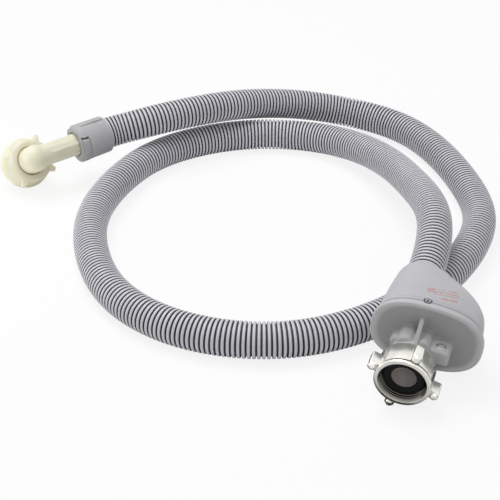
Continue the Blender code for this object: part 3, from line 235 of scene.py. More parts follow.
def moulded_finish(name, colour, other, rough, grain=900.0, bump=0.08, blotch=60.0, metal=0.0):
    """A material whose colour and gloss drift between two values, over a fine grain with bumps in millimetres."""
    made = bpy.data.materials.new(name)
    made.use_nodes = True
    tree = made.node_tree
    shader = tree.nodes["Principled BSDF"]
    where = tree.nodes.new("ShaderNodeTexCoord")
    pattern = tree.nodes.new("ShaderNodeGroup")
    pattern.node_tree = MOULDING_GRAIN
    pattern.inputs["Grain Scale"].default_value = grain
    pattern.inputs["Blotch Scale"].default_value = blotch
    tree.links.new(where.outputs["Object"], pattern.inputs["Vector"])
    tint = tree.nodes.new("ShaderNodeMix")
    tint.data_type = "RGBA"
    tint.inputs["A"].default_value = (*colour, 1.0)
    tint.inputs["B"].default_value = (*other, 1.0)
    tree.links.new(pattern.outputs["Blotch"], tint.inputs["Factor"])
    gloss = tree.nodes.new("ShaderNodeMapRange")
    gloss.inputs["To Min"].default_value = rough[0]
    gloss.inputs["To Max"].default_value = rough[1]
    tree.links.new(pattern.outputs["Blotch"], gloss.inputs["Value"])
    tree.links.new(gloss.outputs["Result"], shader.inputs["Roughness"])
    relief = tree.nodes.new("ShaderNodeBump")
    relief.inputs["Strength"].default_value = 1.0
    relief.inputs["Distance"].default_value = bump * MM
    tree.links.new(pattern.outputs["Height"], relief.inputs["Height"])
    tree.links.new(relief.outputs["Normal"], shader.inputs["Normal"])
    tree.links.new(tint.outputs["Result"], shader.inputs["Base Color"])
    shader.inputs["Metallic"].default_value = metal
    return made


def colour_where(material, attribute, colour, span=None):
    """Lays a colour over the material's own where the mesh's attribute is high.

    The span says at which value the colour starts, at which it is full, and how much of it is laid then.
    """
    tree = material.node_tree
    shader = tree.nodes["Principled BSDF"]
    own_colour = shader.inputs["Base Color"].links[0].from_socket
    mask = tree.nodes.new("ShaderNodeAttribute")
    mask.attribute_name = attribute
    amount = mask.outputs["Fac"]
    if span:
        grade = tree.nodes.new("ShaderNodeMapRange")
        for socket, value in zip(("From Min", "From Max", "To Max"), span):
            grade.inputs[socket].default_value = value
        tree.links.new(amount, grade.inputs["Value"])
        amount = grade.outputs["Result"]
    over = tree.nodes.new("ShaderNodeMix")
    over.data_type = "RGBA"
    over.inputs["B"].default_value = (*colour, 1.0)
    tree.links.new(amount, over.inputs["Factor"])
    tree.links.new(own_colour, over.inputs["A"])
    tree.links.new(over.outputs["Result"], shader.inputs["Base Color"])


hose_grey = moulded_finish(
    "hose_grey", (0.68, 0.67, 0.72), (0.62, 0.61, 0.66), (0.34, 0.44), grain=700.0, bump=0.03, blotch=45.0
)
# painted shade: the grooves between the ridges are painted near black, the more the deeper they lie
colour_where(hose_grey, "groove", (0.022, 0.022, 0.028), span=(0.05, 0.34, 0.94))
outer_hose.data.materials.append(hose_grey)
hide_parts("corrugated_hose")
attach(outer_hose, "hose_assembly")
SLEEVE_END = 55.2  # millimetres up the elbow's leg, where the hose leaves the sleeve


# Floor, world and lamps: a pale seamless table, one broad soft lamp over it, a weaker one in front and a
# small fill low on the left, in a white room. The floor keeps part of its shade for the camera, so the
# hose's shadow stays.
FLOOR_GLOW = 0.85


def plain_floor():
    """A broad plane that the camera sees as nearly white, but not quite without shade."""
    bpy.ops.object.select_all(action="DESELECT")
    bpy.ops.mesh.primitive_plane_add(size=12.0, location=(0.0, 2.0, 0.0))
    floor = bpy.context.object
    floor.name = "table_top"
    bpy.ops.object.transform_apply(location=True, rotation=True, scale=True)
    pale = bpy.data.materials.new("pale_table")
    pale.use_nodes = True
    tree = pale.node_tree
    shader = tree.nodes["Principled BSDF"]
    shader.inputs["Base Color"].default_value = (0.95, 0.95, 0.95, 1.0)
    shader.inputs["Roughness"].default_value = 0.9
    shader.inputs["Specular IOR Level"].default_value = 0.0
    white = tree.nodes.new("ShaderNodeEmission")
    rays = tree.nodes.new("ShaderNodeLightPath")
    seen = tree.nodes.new("ShaderNodeMath")
    seen.operation = "MAXIMUM"
    share = tree.nodes.new("ShaderNodeMath")
    share.operation = "MULTIPLY"
    share.inputs[1].default_value = FLOOR_GLOW
    blend = tree.nodes.new("ShaderNodeMixShader")
    tree.links.new(rays.outputs["Is Camera Ray"], seen.inputs[0])
    tree.links.new(rays.outputs["Is Transmission Ray"], seen.inputs[1])
    tree.links.new(seen.outputs["Value"], share.inputs[0])
    tree.links.new(share.outputs["Value"], blend.inputs["Fac"])
    tree.links.new(shader.outputs["BSDF"], blend.inputs[1])
    tree.links.new(white.outputs["Emission"], blend.inputs[2])
    tree.links.new(blend.outputs["Shader"], tree.nodes["Material Output"].inputs["Surface"])
    floor.data.materials.append(pale)


def soft_lamp(name, place, aim, size, power):
    """A round area lamp in metres and watts."""
    lamp = bpy.data.objects.new(name, bpy.data.lights.new(name, "AREA"))
    bpy.context.scene.collection.objects.link(lamp)
    lamp.data.shape = "DISK"
    lamp.data.size = size
    lamp.data.energy = power
    lamp.location = place
    lamp.rotation_euler = (Vector(aim) - Vector(place)).to_track_quat("-Z", "Y").to_euler()


def shade_reflection_flag():
    """A dark board under the metal nut, seen only in polished metal, which would be flat white without it: a painted
    dark reflection that stands for the shade on the floor under the nut.
    """
    bpy.ops.object.select_all(action="DESELECT")
    bpy.ops.mesh.primitive_plane_add(size=1.0, location=(0.10, -0.101, 0.0012))
    flag = bpy.context.object
    flag.name = "shade_reflection_flag"
    flag.scale = (0.12, 0.100, 1.0)
    bpy.ops.object.transform_apply(location=True, rotation=True, scale=True)
    # painted shade: a near-black sheet seen only in reflections, in place of the shaded floor under the nut
    cloth = bpy.data.materials.new("painted_reflection_shade")
    cloth.use_nodes = True
    cloth.node_tree.nodes["Principled BSDF"].inputs["Base Color"].default_value = (0.05, 0.05, 0.05, 1.0)
    flag.data.materials.append(cloth)
    flag.visible_camera = False
    flag.visible_diffuse = False
    flag.visible_shadow = False
    flag.visible_transmission = False


plain_floor()
shade_reflection_flag()
soft_lamp("overhead_lamp", (-0.35, 0.34, 1.5), (0.02, 0.03, 0.0), 1.1, 14.6)
soft_lamp("front_lamp", (0.25, -0.95, 1.30), (0.0, 0.05, 0.03), 0.8, 3.6)
soft_lamp("fill_lamp", (-0.34, 0.0, 0.05), (-0.13, 0.11, 0.02), 0.16, 0.16)
room = bpy.data.worlds.new("white_room")
bpy.context.scene.world = room
room.use_nodes = True
tree = room.node_tree
ambient = tree.nodes["Background"]
ambient.inputs["Color"].default_value = (1.0, 1.0, 1.0, 1.0)
ambient.inputs["Strength"].default_value = 0.32
backdrop = tree.nodes.new("ShaderNodeBackground")
backdrop.inputs["Color"].default_value = (1.0, 1.0, 1.0, 1.0)
rays = tree.nodes.new("ShaderNodeLightPath")
camera_or_glossy = tree.nodes.new("ShaderNodeMath")
camera_or_glossy.operation = "MAXIMUM"
or_through = tree.nodes.new("ShaderNodeMath")
or_through.operation = "MAXIMUM"
choose = tree.nodes.new("ShaderNodeMixShader")
tree.links.new(rays.outputs["Is Camera Ray"], camera_or_glossy.inputs[0])
tree.links.new(rays.outputs["Is Glossy Ray"], camera_or_glossy.inputs[1])
tree.links.new(camera_or_glossy.outputs["Value"], or_through.inputs[0])
tree.links.new(rays.outputs["Is Transmission Ray"], or_through.inputs[1])
tree.links.new(or_through.outputs["Value"], choose.inputs["Fac"])
tree.links.new(ambient.outputs["Background"], choose.inputs[1])
tree.links.new(backdrop.outputs["Background"], choose.inputs[2])
tree.links.new(choose.outputs["Shader"], tree.nodes["World Output"].inputs["Surface"])
bpy.context.scene.view_settings.view_transform = "Standard"


# Pressure hose inside: black EPDM rubber over a braid, pushed on the barbed tails and crimped there with
# brass ferrules. It shows only where the corrugated hose is cut or drawn back.
def give_finish(material, *nodes):
    """Puts the material on CAD nodes that keep their own mesh."""
    for name in nodes:
        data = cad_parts[name].data
        data.materials.clear()
        data.materials.append(material)


pressure_rubber = moulded_finish(
    "pressure_rubber", (0.030, 0.030, 0.032), (0.045, 0.045, 0.047), (0.55, 0.7), grain=500.0, bump=0.12
)
give_finish(pressure_rubber, "inner_hose")
crimped_brass = moulded_finish(
    "crimped_brass", (0.72, 0.55, 0.28), (0.62, 0.46, 0.22), (0.25, 0.42), grain=1500.0, bump=0.02, metal=1.0
)
give_finish(crimped_brass, "tap_ferrule", "elbow_ferrule")


# Housing: a tapered shell of light grey polypropylene, injection moulded in one piece. It swells from the
# round neck that takes the hose to the oval that the front cover closes, with a bead at that joint.
SHELL_LENGTH = 58.4
SHELL_WALL = 2.0
SHELL_INSET = 2.1  # from the cover's outline
SHELL_SIDES = 128
NECK_R = 12.2
COVER_CENTRE = (5.1, 7.9)
COVER_HALF = (32.0, 22.6)
COVER_POWER = 2.53


def oval(centre, half, power, height, sides=SHELL_SIDES):
    """One section, in millimetres: an ellipse that grows square-cornered with its power."""
    ring = []
    for i in range(sides):
        angle = math.tau * (i + 0.5) / sides - math.pi
        c, s = math.cos(angle), math.sin(angle)
        x = math.copysign(abs(c) ** (2 / power), c) * half[0]
        y = math.copysign(abs(s) ** (2 / power), s) * half[1]
        ring.append((centre[0] + x, centre[1] + y, height))
    return ring


def cover_oval(inset, height):
    """The cover's outline, drawn in by inset."""
    return oval(COVER_CENTRE, (COVER_HALF[0] - inset, COVER_HALF[1] - inset), COVER_POWER, height)


def skin(name, rings, ends):
    """Adds a circle, extrudes it once for each further section and sets its rings to the sections.

    The ends are "filled", or "joined" to each other where the sections go out along one side of a wall
    and back along the other.
    """
    count = len(rings[0])
    bpy.ops.object.select_all(action="DESELECT")
    bpy.ops.mesh.primitive_circle_add(vertices=count, radius=1.0)
    piece = bpy.context.object
    piece.name = name
    piece.data.name = name
    bpy.ops.object.mode_set(mode="EDIT")
    bpy.ops.mesh.select_all(action="SELECT")
    for _ in rings[1:]:
        bpy.ops.mesh.extrude_region_move(TRANSFORM_OT_translate={"value": (0, 0, 1.0)})
    bpy.ops.object.mode_set(mode="OBJECT")
    rows = [[] for _ in rings]
    for vertex in piece.data.vertices:
        rows[round(vertex.co.z)].append(vertex)
    for row, ring in zip(rows, rings):
        row.sort(key=lambda v: math.atan2(v.co.y, v.co.x))
        for vertex, point in zip(row, ring):
            vertex.co = Vector(point) * MM
    bpy.ops.object.mode_set(mode="EDIT")
    bpy.ops.mesh.select_mode(type="EDGE")
    bpy.ops.mesh.select_all(action="DESELECT")
    bpy.ops.mesh.select_non_manifold()
    if ends == "joined":
        bpy.ops.mesh.bridge_edge_loops()
    else:
        bpy.ops.mesh.fill_holes(sides=0)
    bpy.ops.mesh.select_all(action="SELECT")
    bpy.ops.mesh.normals_make_consistent(inside=False)
    bpy.ops.mesh.select_mode(type="VERT")
    bpy.ops.object.mode_set(mode="OBJECT")
    return piece


def turn(name, profile, ends, sides=96):
    """A round piece from (radius, height) points in millimetres."""
    rings = []
    for radius, height in profile:
        angles = [math.tau * (i + 0.5) / sides - math.pi for i in range(sides)]
        rings.append([(radius * math.cos(a), radius * math.sin(a), height) for a in angles])
    return skin(name, rings, ends)


def only(piece):
    """Selects nothing but the piece."""
    bpy.ops.object.select_all(action="DESELECT")
    piece.select_set(True)
    bpy.context.view_layer.objects.active = piece


def round_edges(piece, width, segments, angle):
    """Bevels the edges that are sharper than the angle, by a width in millimetres."""
    only(piece)
    bpy.ops.object.modifier_add(type="BEVEL")
    bevel = piece.modifiers[-1]
    bevel.width = width * MM
    bevel.segments = segments
    bevel.limit_method = "ANGLE"
    bevel.angle_limit = math.radians(angle)
    bpy.ops.object.modifier_apply(modifier=bevel.name)


def combine(piece, tool, how):
    """Boolean of piece and tool, which is used up."""
    only(piece)
    bpy.ops.object.modifier_add(type="BOOLEAN")
    boolean = piece.modifiers[-1]
    boolean.operation = how
    boolean.solver = "EXACT"
    boolean.object = tool
    bpy.ops.object.modifier_apply(modifier=boolean.name)
    bpy.data.objects.remove(tool, do_unlink=True)


def smooth_faces(piece, angle=38.0):
    """Smooth shading, but for the edges that are sharper than the angle."""
    only(piece)
    bpy.ops.object.shade_smooth_by_angle(angle=math.radians(angle))


def seat(piece, place, material, body, slot, *nodes):
    """Puts a finished piece in its place, with its finish, its body and the CAD nodes that it stands for."""
    only(piece)
    piece.matrix_world = place @ piece.matrix_world
    bpy.ops.object.transform_apply(location=True, rotation=True, scale=True)
    piece.data.materials.clear()
    piece.data.materials.append(material)
    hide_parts(*nodes)
    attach(piece, body)


# height, then how far the left, right, low and high sides have moved from the neck's circle to the oval
SHELL_STATIONS = (
    (0.0, 0.00, 0.00, 0.00, 0.00),
    (1.5, 0.03, 0.01, 0.05, 0.03),
    (4.0, 0.24, 0.10, 0.22, 0.10),
    (8.0, 0.42, 0.24, 0.42, 0.22),
    (14.0, 0.57, 0.44, 0.60, 0.34),
    (22.0, 0.70, 0.69, 0.75, 0.50),
    (31.0, 0.82, 0.87, 0.87, 0.68),
    (41.0, 0.92, 0.97, 0.95, 0.87),
    (49.0, 0.98, 0.995, 0.99, 0.97),
    (52.4, 1.00, 1.00, 1.00, 1.00),
)


def shell_shares(height):
    """The four shares at a height, on curves through the stations that never overshoot them."""
    stations = np.array(SHELL_STATIONS)
    z, table = stations[:, 0], stations[:, 1:]
    slope = np.diff(table, axis=0) / np.diff(z)[:, None]
    middle = 2 * slope[1:] * slope[:-1] / (slope[1:] + slope[:-1] + 1e-9)
    tangent = np.vstack([slope[:1], middle, slope[-1:]])
    k = int(np.clip(np.searchsorted(z, height, side="right") - 1, 0, len(z) - 2))
    size = z[k + 1] - z[k]
    t = (height - z[k]) / size
    return (
        (2 * t**3 - 3 * t**2 + 1) * table[k]
        + (t**3 - 2 * t**2 + t) * size * tangent[k]
        + (3 * t**2 - 2 * t**3) * table[k + 1]
        + (t**3 - t**2) * size * tangent[k + 1]
    )


def shell_section(height, inset):
    """The shell's outline at a height, drawn in by inset."""
    shares = [float(v) for v in shell_shares(height)]
    half_w, half_h = COVER_HALF[0] - SHELL_INSET, COVER_HALF[1] - SHELL_INSET
    neck_and_oval = (
        (NECK_R - NECK_CENTRE[0], half_w - COVER_CENTRE[0]),
        (NECK_R + NECK_CENTRE[0], half_w + COVER_CENTRE[0]),
        (NECK_R - NECK_CENTRE[1], half_h - COVER_CENTRE[1]),
        (NECK_R + NECK_CENTRE[1], half_h + COVER_CENTRE[1]),
    )
    left, right, low, high = [neck + share * (wide - neck) for share, (neck, wide) in zip(shares, neck_and_oval)]
    power = 2 + (COVER_POWER - 2) * (shares[0] + shares[1]) / 2
    centre = ((right - left) / 2, (high - low) / 2)
    return oval(centre, ((right + left) / 2 - inset, (high + low) / 2 - inset), power, height)


# up the outside from the neck's rounded lip, over the bead and its creases, and down the inside
neck_round = [(0.0, 0.9), (0.15, 0.45), (0.45, 0.15), (0.9, 0.0)]
outline = [oval(NECK_CENTRE, (NECK_R - inset, NECK_R - inset), 2, height) for height, inset in neck_round]
outline += [shell_section(float(h), 0.0) for h in (1.4, 2.0, 2.8, 3.6, 4.6, 5.8, *np.linspace(7.2, 51.6, 24))]
for inset, height in (
    (2.1, 52.4), (2.1, 52.9), (2.45, 53.1), (2.45, 53.35), (1.8, 53.5), (1.6, 53.7), (1.6, 55.35), (1.8, 55.5),
    (2.2, 55.65), (2.2, 55.85), (1.8, 56.0), (1.6, 56.15), (1.6, 57.9), (1.75, 58.2), (SHELL_INSET, SHELL_LENGTH),
    (SHELL_INSET + SHELL_WALL, SHELL_LENGTH),
):  # fmt: skip
    outline.append(cover_oval(inset, height))
outline += [shell_section(float(h), SHELL_WALL) for h in np.linspace(50.0, 14.0, 12)]
for radius, height in ((8.6, 10.6), (8.6, 8.6), (11.3, 8.6), (11.3, 0.4), (11.6, 0.0)):
    outline.append(oval(NECK_CENTRE, (radius, radius), 2, height))
housing = skin("moulded_housing", outline, "joined")
smooth_faces(housing, 45.0)
housing_grey = moulded_finish(
    "housing_grey", (0.525, 0.52, 0.55), (0.49, 0.487, 0.515), (0.42, 0.52), grain=1400.0, bump=0.03, blotch=35.0
)
seat(housing, tap_end, housing_grey, "hose_assembly", "grey_moulded_plastic", "housing_shell")


# Print on the housing: plain bars in dull red and a plain dark ring with a dot, pad-printed after moulding.
# The ink is a film a twentieth of a millimetre thick that follows the shell's curve.
PRINT_LIFT = 27.0  # where flat print starts, clear of the housing's top
RING_CENTRE = (1.1 * MM, 29.0 * MM, 55.0 * MM)
FACING_UP = (math.pi / 2, 0, 0)


def ink_on_housing(ink, material):
    """Moves a flat outline on to the housing's surface and gives it the film's thickness."""
    only(ink)
    ink.matrix_world = tap_end @ ink.matrix_world
    bpy.ops.object.transform_apply(location=True, rotation=True, scale=True)
    bpy.ops.object.modifier_add(type="SHRINKWRAP")
    wrap = ink.modifiers[-1]
    wrap.target = housing
    wrap.wrap_method = "NEAREST_SURFACEPOINT"
    wrap.wrap_mode = "ABOVE_SURFACE"
    wrap.offset = 0.03 * MM
    bpy.ops.object.modifier_apply(modifier=wrap.name)
    bpy.ops.object.modifier_add(type="SOLIDIFY")
    film = ink.modifiers[-1]
    film.thickness = 0.05 * MM
    film.offset = 0.0
    bpy.ops.object.modifier_apply(modifier=film.name)
    ink.data.materials.append(material)
    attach(ink, "hose_assembly")


def flat_bar(start, end, width):
    """A grid over a stretch of the housing's top, from start to end across and along it."""
    (x0, z0), (x1, z1) = start, end
    bpy.ops.object.select_all(action="DESELECT")
    bpy.ops.mesh.primitive_grid_add(x_subdivisions=10, y_subdivisions=2, size=1.0)
    bar = bpy.context.object
    length = math.hypot(x1 - x0, z1 - z0)
    for vertex in bar.data.vertices:
        along, across = vertex.co.x + 0.5, vertex.co.y
        x = x0 + (x1 - x0) * along - across * width * (z1 - z0) / length
        z = z0 + (z1 - z0) * along + across * width * (x1 - x0) / length
        vertex.co = Vector((x, PRINT_LIFT, z)) * MM
    return bar


red_ink = moulded_finish(
    "dull_red_ink", (0.50, 0.25, 0.24), (0.55, 0.33, 0.32), (0.5, 0.6), grain=1500.0, bump=0.01, blotch=700.0
)
dark_ink = moulded_finish(
    "dark_ink", (0.030, 0.030, 0.033), (0.050, 0.050, 0.055), (0.5, 0.6), grain=1500.0, bump=0.01, blotch=700.0
)
# start and end across and along the housing, and how tall
PRINTED_BARS = (
    ((-1.6, 42.3), (2.8, 40.6), 1.9), ((4.2, 40.1), (5.6, 39.5), 0.8), ((7.0, 39.0), (8.4, 38.4), 0.8),
    ((10.0, 37.8), (15.2, 35.6), 1.2), ((-1.2, 44.9), (4.6, 43.3), 1.2), ((5.4, 43.1), (7.8, 42.4), 1.2),
    ((8.8, 42.1), (16.6, 39.7), 1.3), ((3.0, 46.4), (16.8, 42.8), 0.55), ((7.4, 49.6), (11.6, 48.4), 1.7),
    ((12.4, 48.2), (16.6, 46.9), 1.7),
)  # fmt: skip
bars = [flat_bar(*bar) for bar in PRINTED_BARS]
only(bars[0])
for bar in bars[1:]:
    bar.select_set(True)
bpy.ops.object.join()
bars[0].name = "printed_bars"
ink_on_housing(bars[0], red_ink)
bpy.ops.object.select_all(action="DESELECT")
bpy.ops.mesh.primitive_circle_add(vertices=40, radius=2.5 * MM, rotation=FACING_UP, location=RING_CENTRE)
ring_mark = bpy.context.object
ring_mark.name = "printed_ring"
bpy.ops.object.transform_apply(location=True, rotation=True, scale=True)
bpy.ops.object.mode_set(mode="EDIT")
bpy.ops.mesh.select_all(action="SELECT")
bpy.ops.mesh.extrude_region_move(TRANSFORM_OT_translate={"value": (0, 0, 0)})
bpy.ops.transform.resize(value=(0.66, 1.0, 0.66), center_override=RING_CENTRE)
bpy.ops.object.mode_set(mode="OBJECT")
bpy.ops.object.select_all(action="DESELECT")
bpy.ops.mesh.primitive_circle_add(
    vertices=24, radius=0.8 * MM, fill_type="NGON", rotation=FACING_UP, location=RING_CENTRE
)
dot = bpy.context.object
bpy.ops.object.transform_apply(location=True, rotation=True, scale=True)
only(ring_mark)
dot.select_set(True)
bpy.ops.object.join()
ink_on_housing(ring_mark, dark_ink)


# Front cover: an oval grey moulding that clips into the shell. Its rim stands up round a shallow dish,
# and out of the dish rise the boss for the valve's stem with four lobes round it, a web and a screw block.
COVER_BACK = 58.7
COVER_FRONT = 61.5
BOSS_FRONT = 76.7
BOSS_R = 12.2
STEM_BORE_R = 10.6
FOOT = COVER_BACK + 1.4  # where boss and lobes start, inside the plate
LOBE_R = 5.0
LOBES = ((152, 7.7), (62, 11.0), (118, 11.0), (24, 11.0))  # degrees round the boss, and length
BLOCK_SIZE, BLOCK_RISE = (11.6, 10.0, 12.4), 11.0
SCREW_X, SCREW_Y = 14.7, 10.4
WEB_THICK, WEB_LENGTH, WEB_START = 2.6, 11.4, 10.8


def round_lobe(number, angle, length):
    """One lobe of the boss: a capped cylinder whose centre lies inside the boss's wall."""
    reach = BOSS_R - 0.45 * LOBE_R
    x, y = reach * math.cos(math.radians(angle)), reach * math.sin(math.radians(angle))
    top = COVER_FRONT + length
    profile = [(LOBE_R, FOOT), (LOBE_R, top - 1.6), (LOBE_R - 0.4, top - 0.7), (3.8, top - 0.1), (3.0, top)]
    lobe = turn(f"lobe_{number}", profile, "filled", 40)
    lobe.data.transform(Matrix.Translation((x * MM, y * MM, 0)))
    return lobe


def rounded_block(name, size, centre, rounding, segments=4):
    """A cube added at its size and place, with its edges bevelled."""
    bpy.ops.object.select_all(action="DESELECT")
    bpy.ops.mesh.primitive_cube_add(size=1.0, location=[v * MM for v in centre])
    block = bpy.context.object
    block.name = name
    block.scale = [v * MM for v in size]
    bpy.ops.object.transform_apply(location=True, rotation=True, scale=True)
    bpy.ops.object.mode_set(mode="EDIT")
    bpy.ops.mesh.select_all(action="SELECT")
    bpy.ops.mesh.bevel(offset=rounding * MM, segments=segments, affect="EDGES")
    bpy.ops.object.mode_set(mode="OBJECT")
    return block


def merge_moulding(piece, grain_size, rounds, keep):
    """Fuses a moulding's forms and softens the inside corners between them, as a mould's fillets do."""
    only(piece)
    bpy.ops.object.modifier_add(type="REMESH")
    remesh = piece.modifiers[-1]
    remesh.mode = "VOXEL"
    remesh.voxel_size = grain_size * MM
    bpy.ops.object.modifier_apply(modifier=remesh.name)
    bpy.ops.object.modifier_add(type="SMOOTH")
    soften = piece.modifiers[-1]
    soften.factor = 0.5
    soften.iterations = rounds
    bpy.ops.object.modifier_apply(modifier=soften.name)
    bpy.ops.object.modifier_add(type="DECIMATE")
    thin = piece.modifiers[-1]
    thin.ratio = keep
    bpy.ops.object.modifier_apply(modifier=thin.name)
    bpy.ops.object.shade_smooth()


plate = [cover_oval(0.5, COVER_BACK), cover_oval(0.1, COVER_BACK + 0.3), cover_oval(0.0, COVER_BACK + 0.8)]
plate += [cover_oval(0.0, COVER_FRONT - 1.0), cover_oval(0.2, COVER_FRONT - 0.45), cover_oval(0.6, COVER_FRONT - 0.1)]
plate += [cover_oval(1.2, COVER_FRONT), cover_oval(1.9, COVER_FRONT - 0.1), cover_oval(2.8, COVER_FRONT - 0.4)]
plate += [cover_oval(4.0, COVER_FRONT - 0.62), cover_oval(6.0, COVER_FRONT - 0.7)]
cover = skin("front_cover_moulding", plate, "filled")
boss_profile = [(BOSS_R, FOOT), (BOSS_R, BOSS_FRONT - 0.7), (BOSS_R - 0.7, BOSS_FRONT)]
combine(cover, turn("boss", boss_profile, "filled"), "UNION")
for number, (angle, length) in enumerate(LOBES):
    combine(cover, round_lobe(number, angle, length), "UNION")
block_centre = (SCREW_X, SCREW_Y - BLOCK_SIZE[1] / 2, COVER_FRONT + BLOCK_RISE - BLOCK_SIZE[2] / 2)
combine(cover, rounded_block("screw_block", BLOCK_SIZE, block_centre, 1.6), "UNION")


def cover_web():
    """The thin web from the boss's top up the dish: a block with its outer corner sloped down."""
    low, high = COVER_FRONT - 1.2, BOSS_FRONT - 1.2
    centre = (1.0, WEB_START + WEB_LENGTH / 2, (low + high) / 2)
    web = rounded_block("web", (WEB_THICK, WEB_LENGTH, high - low), centre, 0.5, 2)
    only(web)
    bpy.ops.object.mode_set(mode="EDIT")
    bpy.ops.mesh.select_all(action="DESELECT")
    bpy.ops.object.mode_set(mode="OBJECT")
    for vertex in web.data.vertices:
        vertex.select = vertex.co.y > 16 * MM and vertex.co.z > COVER_FRONT * MM
    bpy.ops.object.mode_set(mode="EDIT")
    bpy.ops.transform.translate(value=(0, 0, -12.0 * MM))
    bpy.ops.object.mode_set(mode="OBJECT")
    return web


combine(cover, cover_web(), "UNION")
combine(cover, turn("stem_bore", [(STEM_BORE_R, 40.0), (STEM_BORE_R, 90.0)], "filled"), "DIFFERENCE")
recess = turn("screw_recess", [(2.8, -2.6), (2.8, 3.0)], "filled", 40)
block_top = Matrix.Translation((SCREW_X * MM, SCREW_Y * MM, (COVER_FRONT + BLOCK_RISE / 2) * MM))
recess.data.transform(block_top @ Matrix.Rotation(-math.pi / 2, 4, "X"))
combine(cover, recess, "DIFFERENCE")
merge_moulding(cover, grain_size=0.40, rounds=3, keep=0.42)
# the lip that snaps into the shell
lip = [cover_oval(4.4, 54.7), cover_oval(4.4, 59.4), cover_oval(5.8, 59.4), cover_oval(5.8, 54.7)]
cover_lip = skin("cover_lip", lip, "joined")
smooth_faces(cover_lip)
only(cover)
cover_lip.select_set(True)
bpy.ops.object.join()
# painted light: the standing rim, the boss and what rises with it are painted paler than the dish, as where light
# from above falls on them
rim_light_mask = cover.data.attributes.new("rim", "FLOAT", "POINT")
spans = np.zeros(len(cover.data.vertices) * 3)
cover.data.vertices.foreach_get("co", spans)
spans = spans.reshape(-1, 3) / MM
oval_share = np.abs((spans[:, 0] - COVER_CENTRE[0]) / COVER_HALF[0]) ** COVER_POWER
oval_share += np.abs((spans[:, 1] - COVER_CENTRE[1]) / COVER_HALF[1]) ** COVER_POWER
MEAN_HALF = 26.0  # turns the share into about how many millimetres a point lies inside the edge
from_edge = (1 - oval_share ** (1 / COVER_POWER)) * MEAN_HALF
lifted = 0.55 * np.clip((spans[:, 2] - COVER_FRONT - 0.6) / 2.4, 0.0, 1.0)
rim_light_mask.data.foreach_set("value", np.maximum(np.clip((4.2 - from_edge) / 2.0, 0.0, 1.0), lifted))
# painted shade: the cover is given a darker copy of the housing's grey, so that its dish reads as shaded
cover_grey_shaded = moulded_finish(
    "cover_grey_shaded", (0.365, 0.37, 0.37), (0.34, 0.345, 0.345), (0.45, 0.56), grain=1400.0, bump=0.03, blotch=35.0
)
# painted light on the rim and the raised parts
colour_where(cover_grey_shaded, "rim", (0.55, 0.55, 0.56))
seat(cover, tap_end, cover_grey_shaded, "hose_assembly", "grey_moulded_plastic", "front_cover")


# Union nut of the tap end: hot-pressed brass, turned and nickel plated, with a three-quarter inch pipe thread,
# a turned rim and four lugs for the fingers, each with a round knob at its front end.
NUT_BACK = 77.0
NUT_FRONT = 93.5
NUT_SIDES = 112
THREAD_ROOT, THREAD_CREST, THREAD_PITCH = 13.15, 12.15, 1.81
GROOVE_R = 15.2
LUG_SIZE, LUG_AT, LUG_TURN = (5.4, 7.2, 9.6), (0, 17.2, 86.8), 14.1
thread = []
height = 91.6
while height > NUT_BACK + 4.4:
    thread += [(THREAD_ROOT, height), (THREAD_ROOT, height - 0.25)]
    thread += [(THREAD_CREST, height - 0.85), (THREAD_CREST, height - 1.15)]
    height -= THREAD_PITCH
nut_profile = [
    (13.6, NUT_FRONT - 0.25), (13.85, NUT_FRONT), (15.3, NUT_FRONT), (15.75, NUT_FRONT - 0.2),
    (16.0, NUT_FRONT - 0.6), (16.0, NUT_FRONT - 1.5), (GROOVE_R, NUT_FRONT - 1.65), (GROOVE_R, NUT_FRONT - 2.5),
    (15.8, NUT_FRONT - 2.7), (15.9, NUT_BACK + 1.6), (15.6, NUT_BACK + 0.8), (14.9, NUT_BACK + 0.15),
    (14.4, NUT_BACK), (10.8, NUT_BACK), (10.6, NUT_BACK + 0.2), (10.6, NUT_BACK + 2.8), (12.9, NUT_BACK + 2.8),
    (12.9, height + 0.3), *reversed(thread), (12.3, NUT_FRONT - 1.5),
]  # fmt: skip
tap_nut = turn("tap_union_nut", nut_profile, "joined", NUT_SIDES)


def nut_lug(number):
    """A bevelled bar along the nut with a domed knob at the front."""
    bar = rounded_block(f"lug_{number}", LUG_SIZE, LUG_AT, 1.0)
    profile = [(2.35, 86.5), (2.35, 91.0), (2.2, 91.9), (1.8, 92.5), (1.2, 92.85), (0.5, 93.0)]
    knob = turn("knob", profile, "filled", 32)
    knob.data.transform(Matrix.Translation((0, 18.7 * MM, 0)))
    combine(bar, knob, "UNION")
    # the turn goes from the housing's top towards its right
    bar.data.transform(Matrix.Rotation(-math.radians(LUG_TURN + 90.0 * number), 4, "Z"))
    return bar


for number in range(4):
    combine(tap_nut, nut_lug(number), "UNION")
smooth_faces(tap_nut, 33.0)
# painted shade: the thread and the groove are painted dark, and thinly the mouth and the front face, where shade and
# dark reflections fall
nut_shade = tap_nut.data.attributes.new("nut_shade", "FLOAT", "POINT")
for vertex in tap_nut.data.vertices:
    reach, z = math.hypot(vertex.co.x, vertex.co.y) / MM, vertex.co.z / MM
    in_thread = reach < THREAD_ROOT + 0.15 and NUT_BACK + 2.9 < z < NUT_FRONT - 1.0
    in_groove = abs(reach - GROOVE_R) < 0.1 and NUT_FRONT - 2.6 < z < NUT_FRONT - 1.6
    in_mouth = reach < 13.7 and z > NUT_FRONT - 0.5
    on_face = reach < 15.4 and z > NUT_FRONT - 0.1
    thin = 0.7 if in_mouth else 0.22 if on_face else 0.0
    nut_shade.data[vertex.index].value = 1.0 if in_thread or in_groove else thin
nickel = moulded_finish(
    "tumbled_nickel", (0.91, 0.90, 0.84), (0.76, 0.75, 0.70), (0.14, 0.32),
    grain=260.0, bump=0.016, blotch=120.0, metal=1.0,
)  # fmt: skip
# painted shade in the thread, the groove and round the mouth
colour_where(nickel, "nut_shade", (0.10, 0.096, 0.086))
seat(tap_nut, tap_end, nickel, "tap_nut", "zinc_plated_metal", "tap_nut")


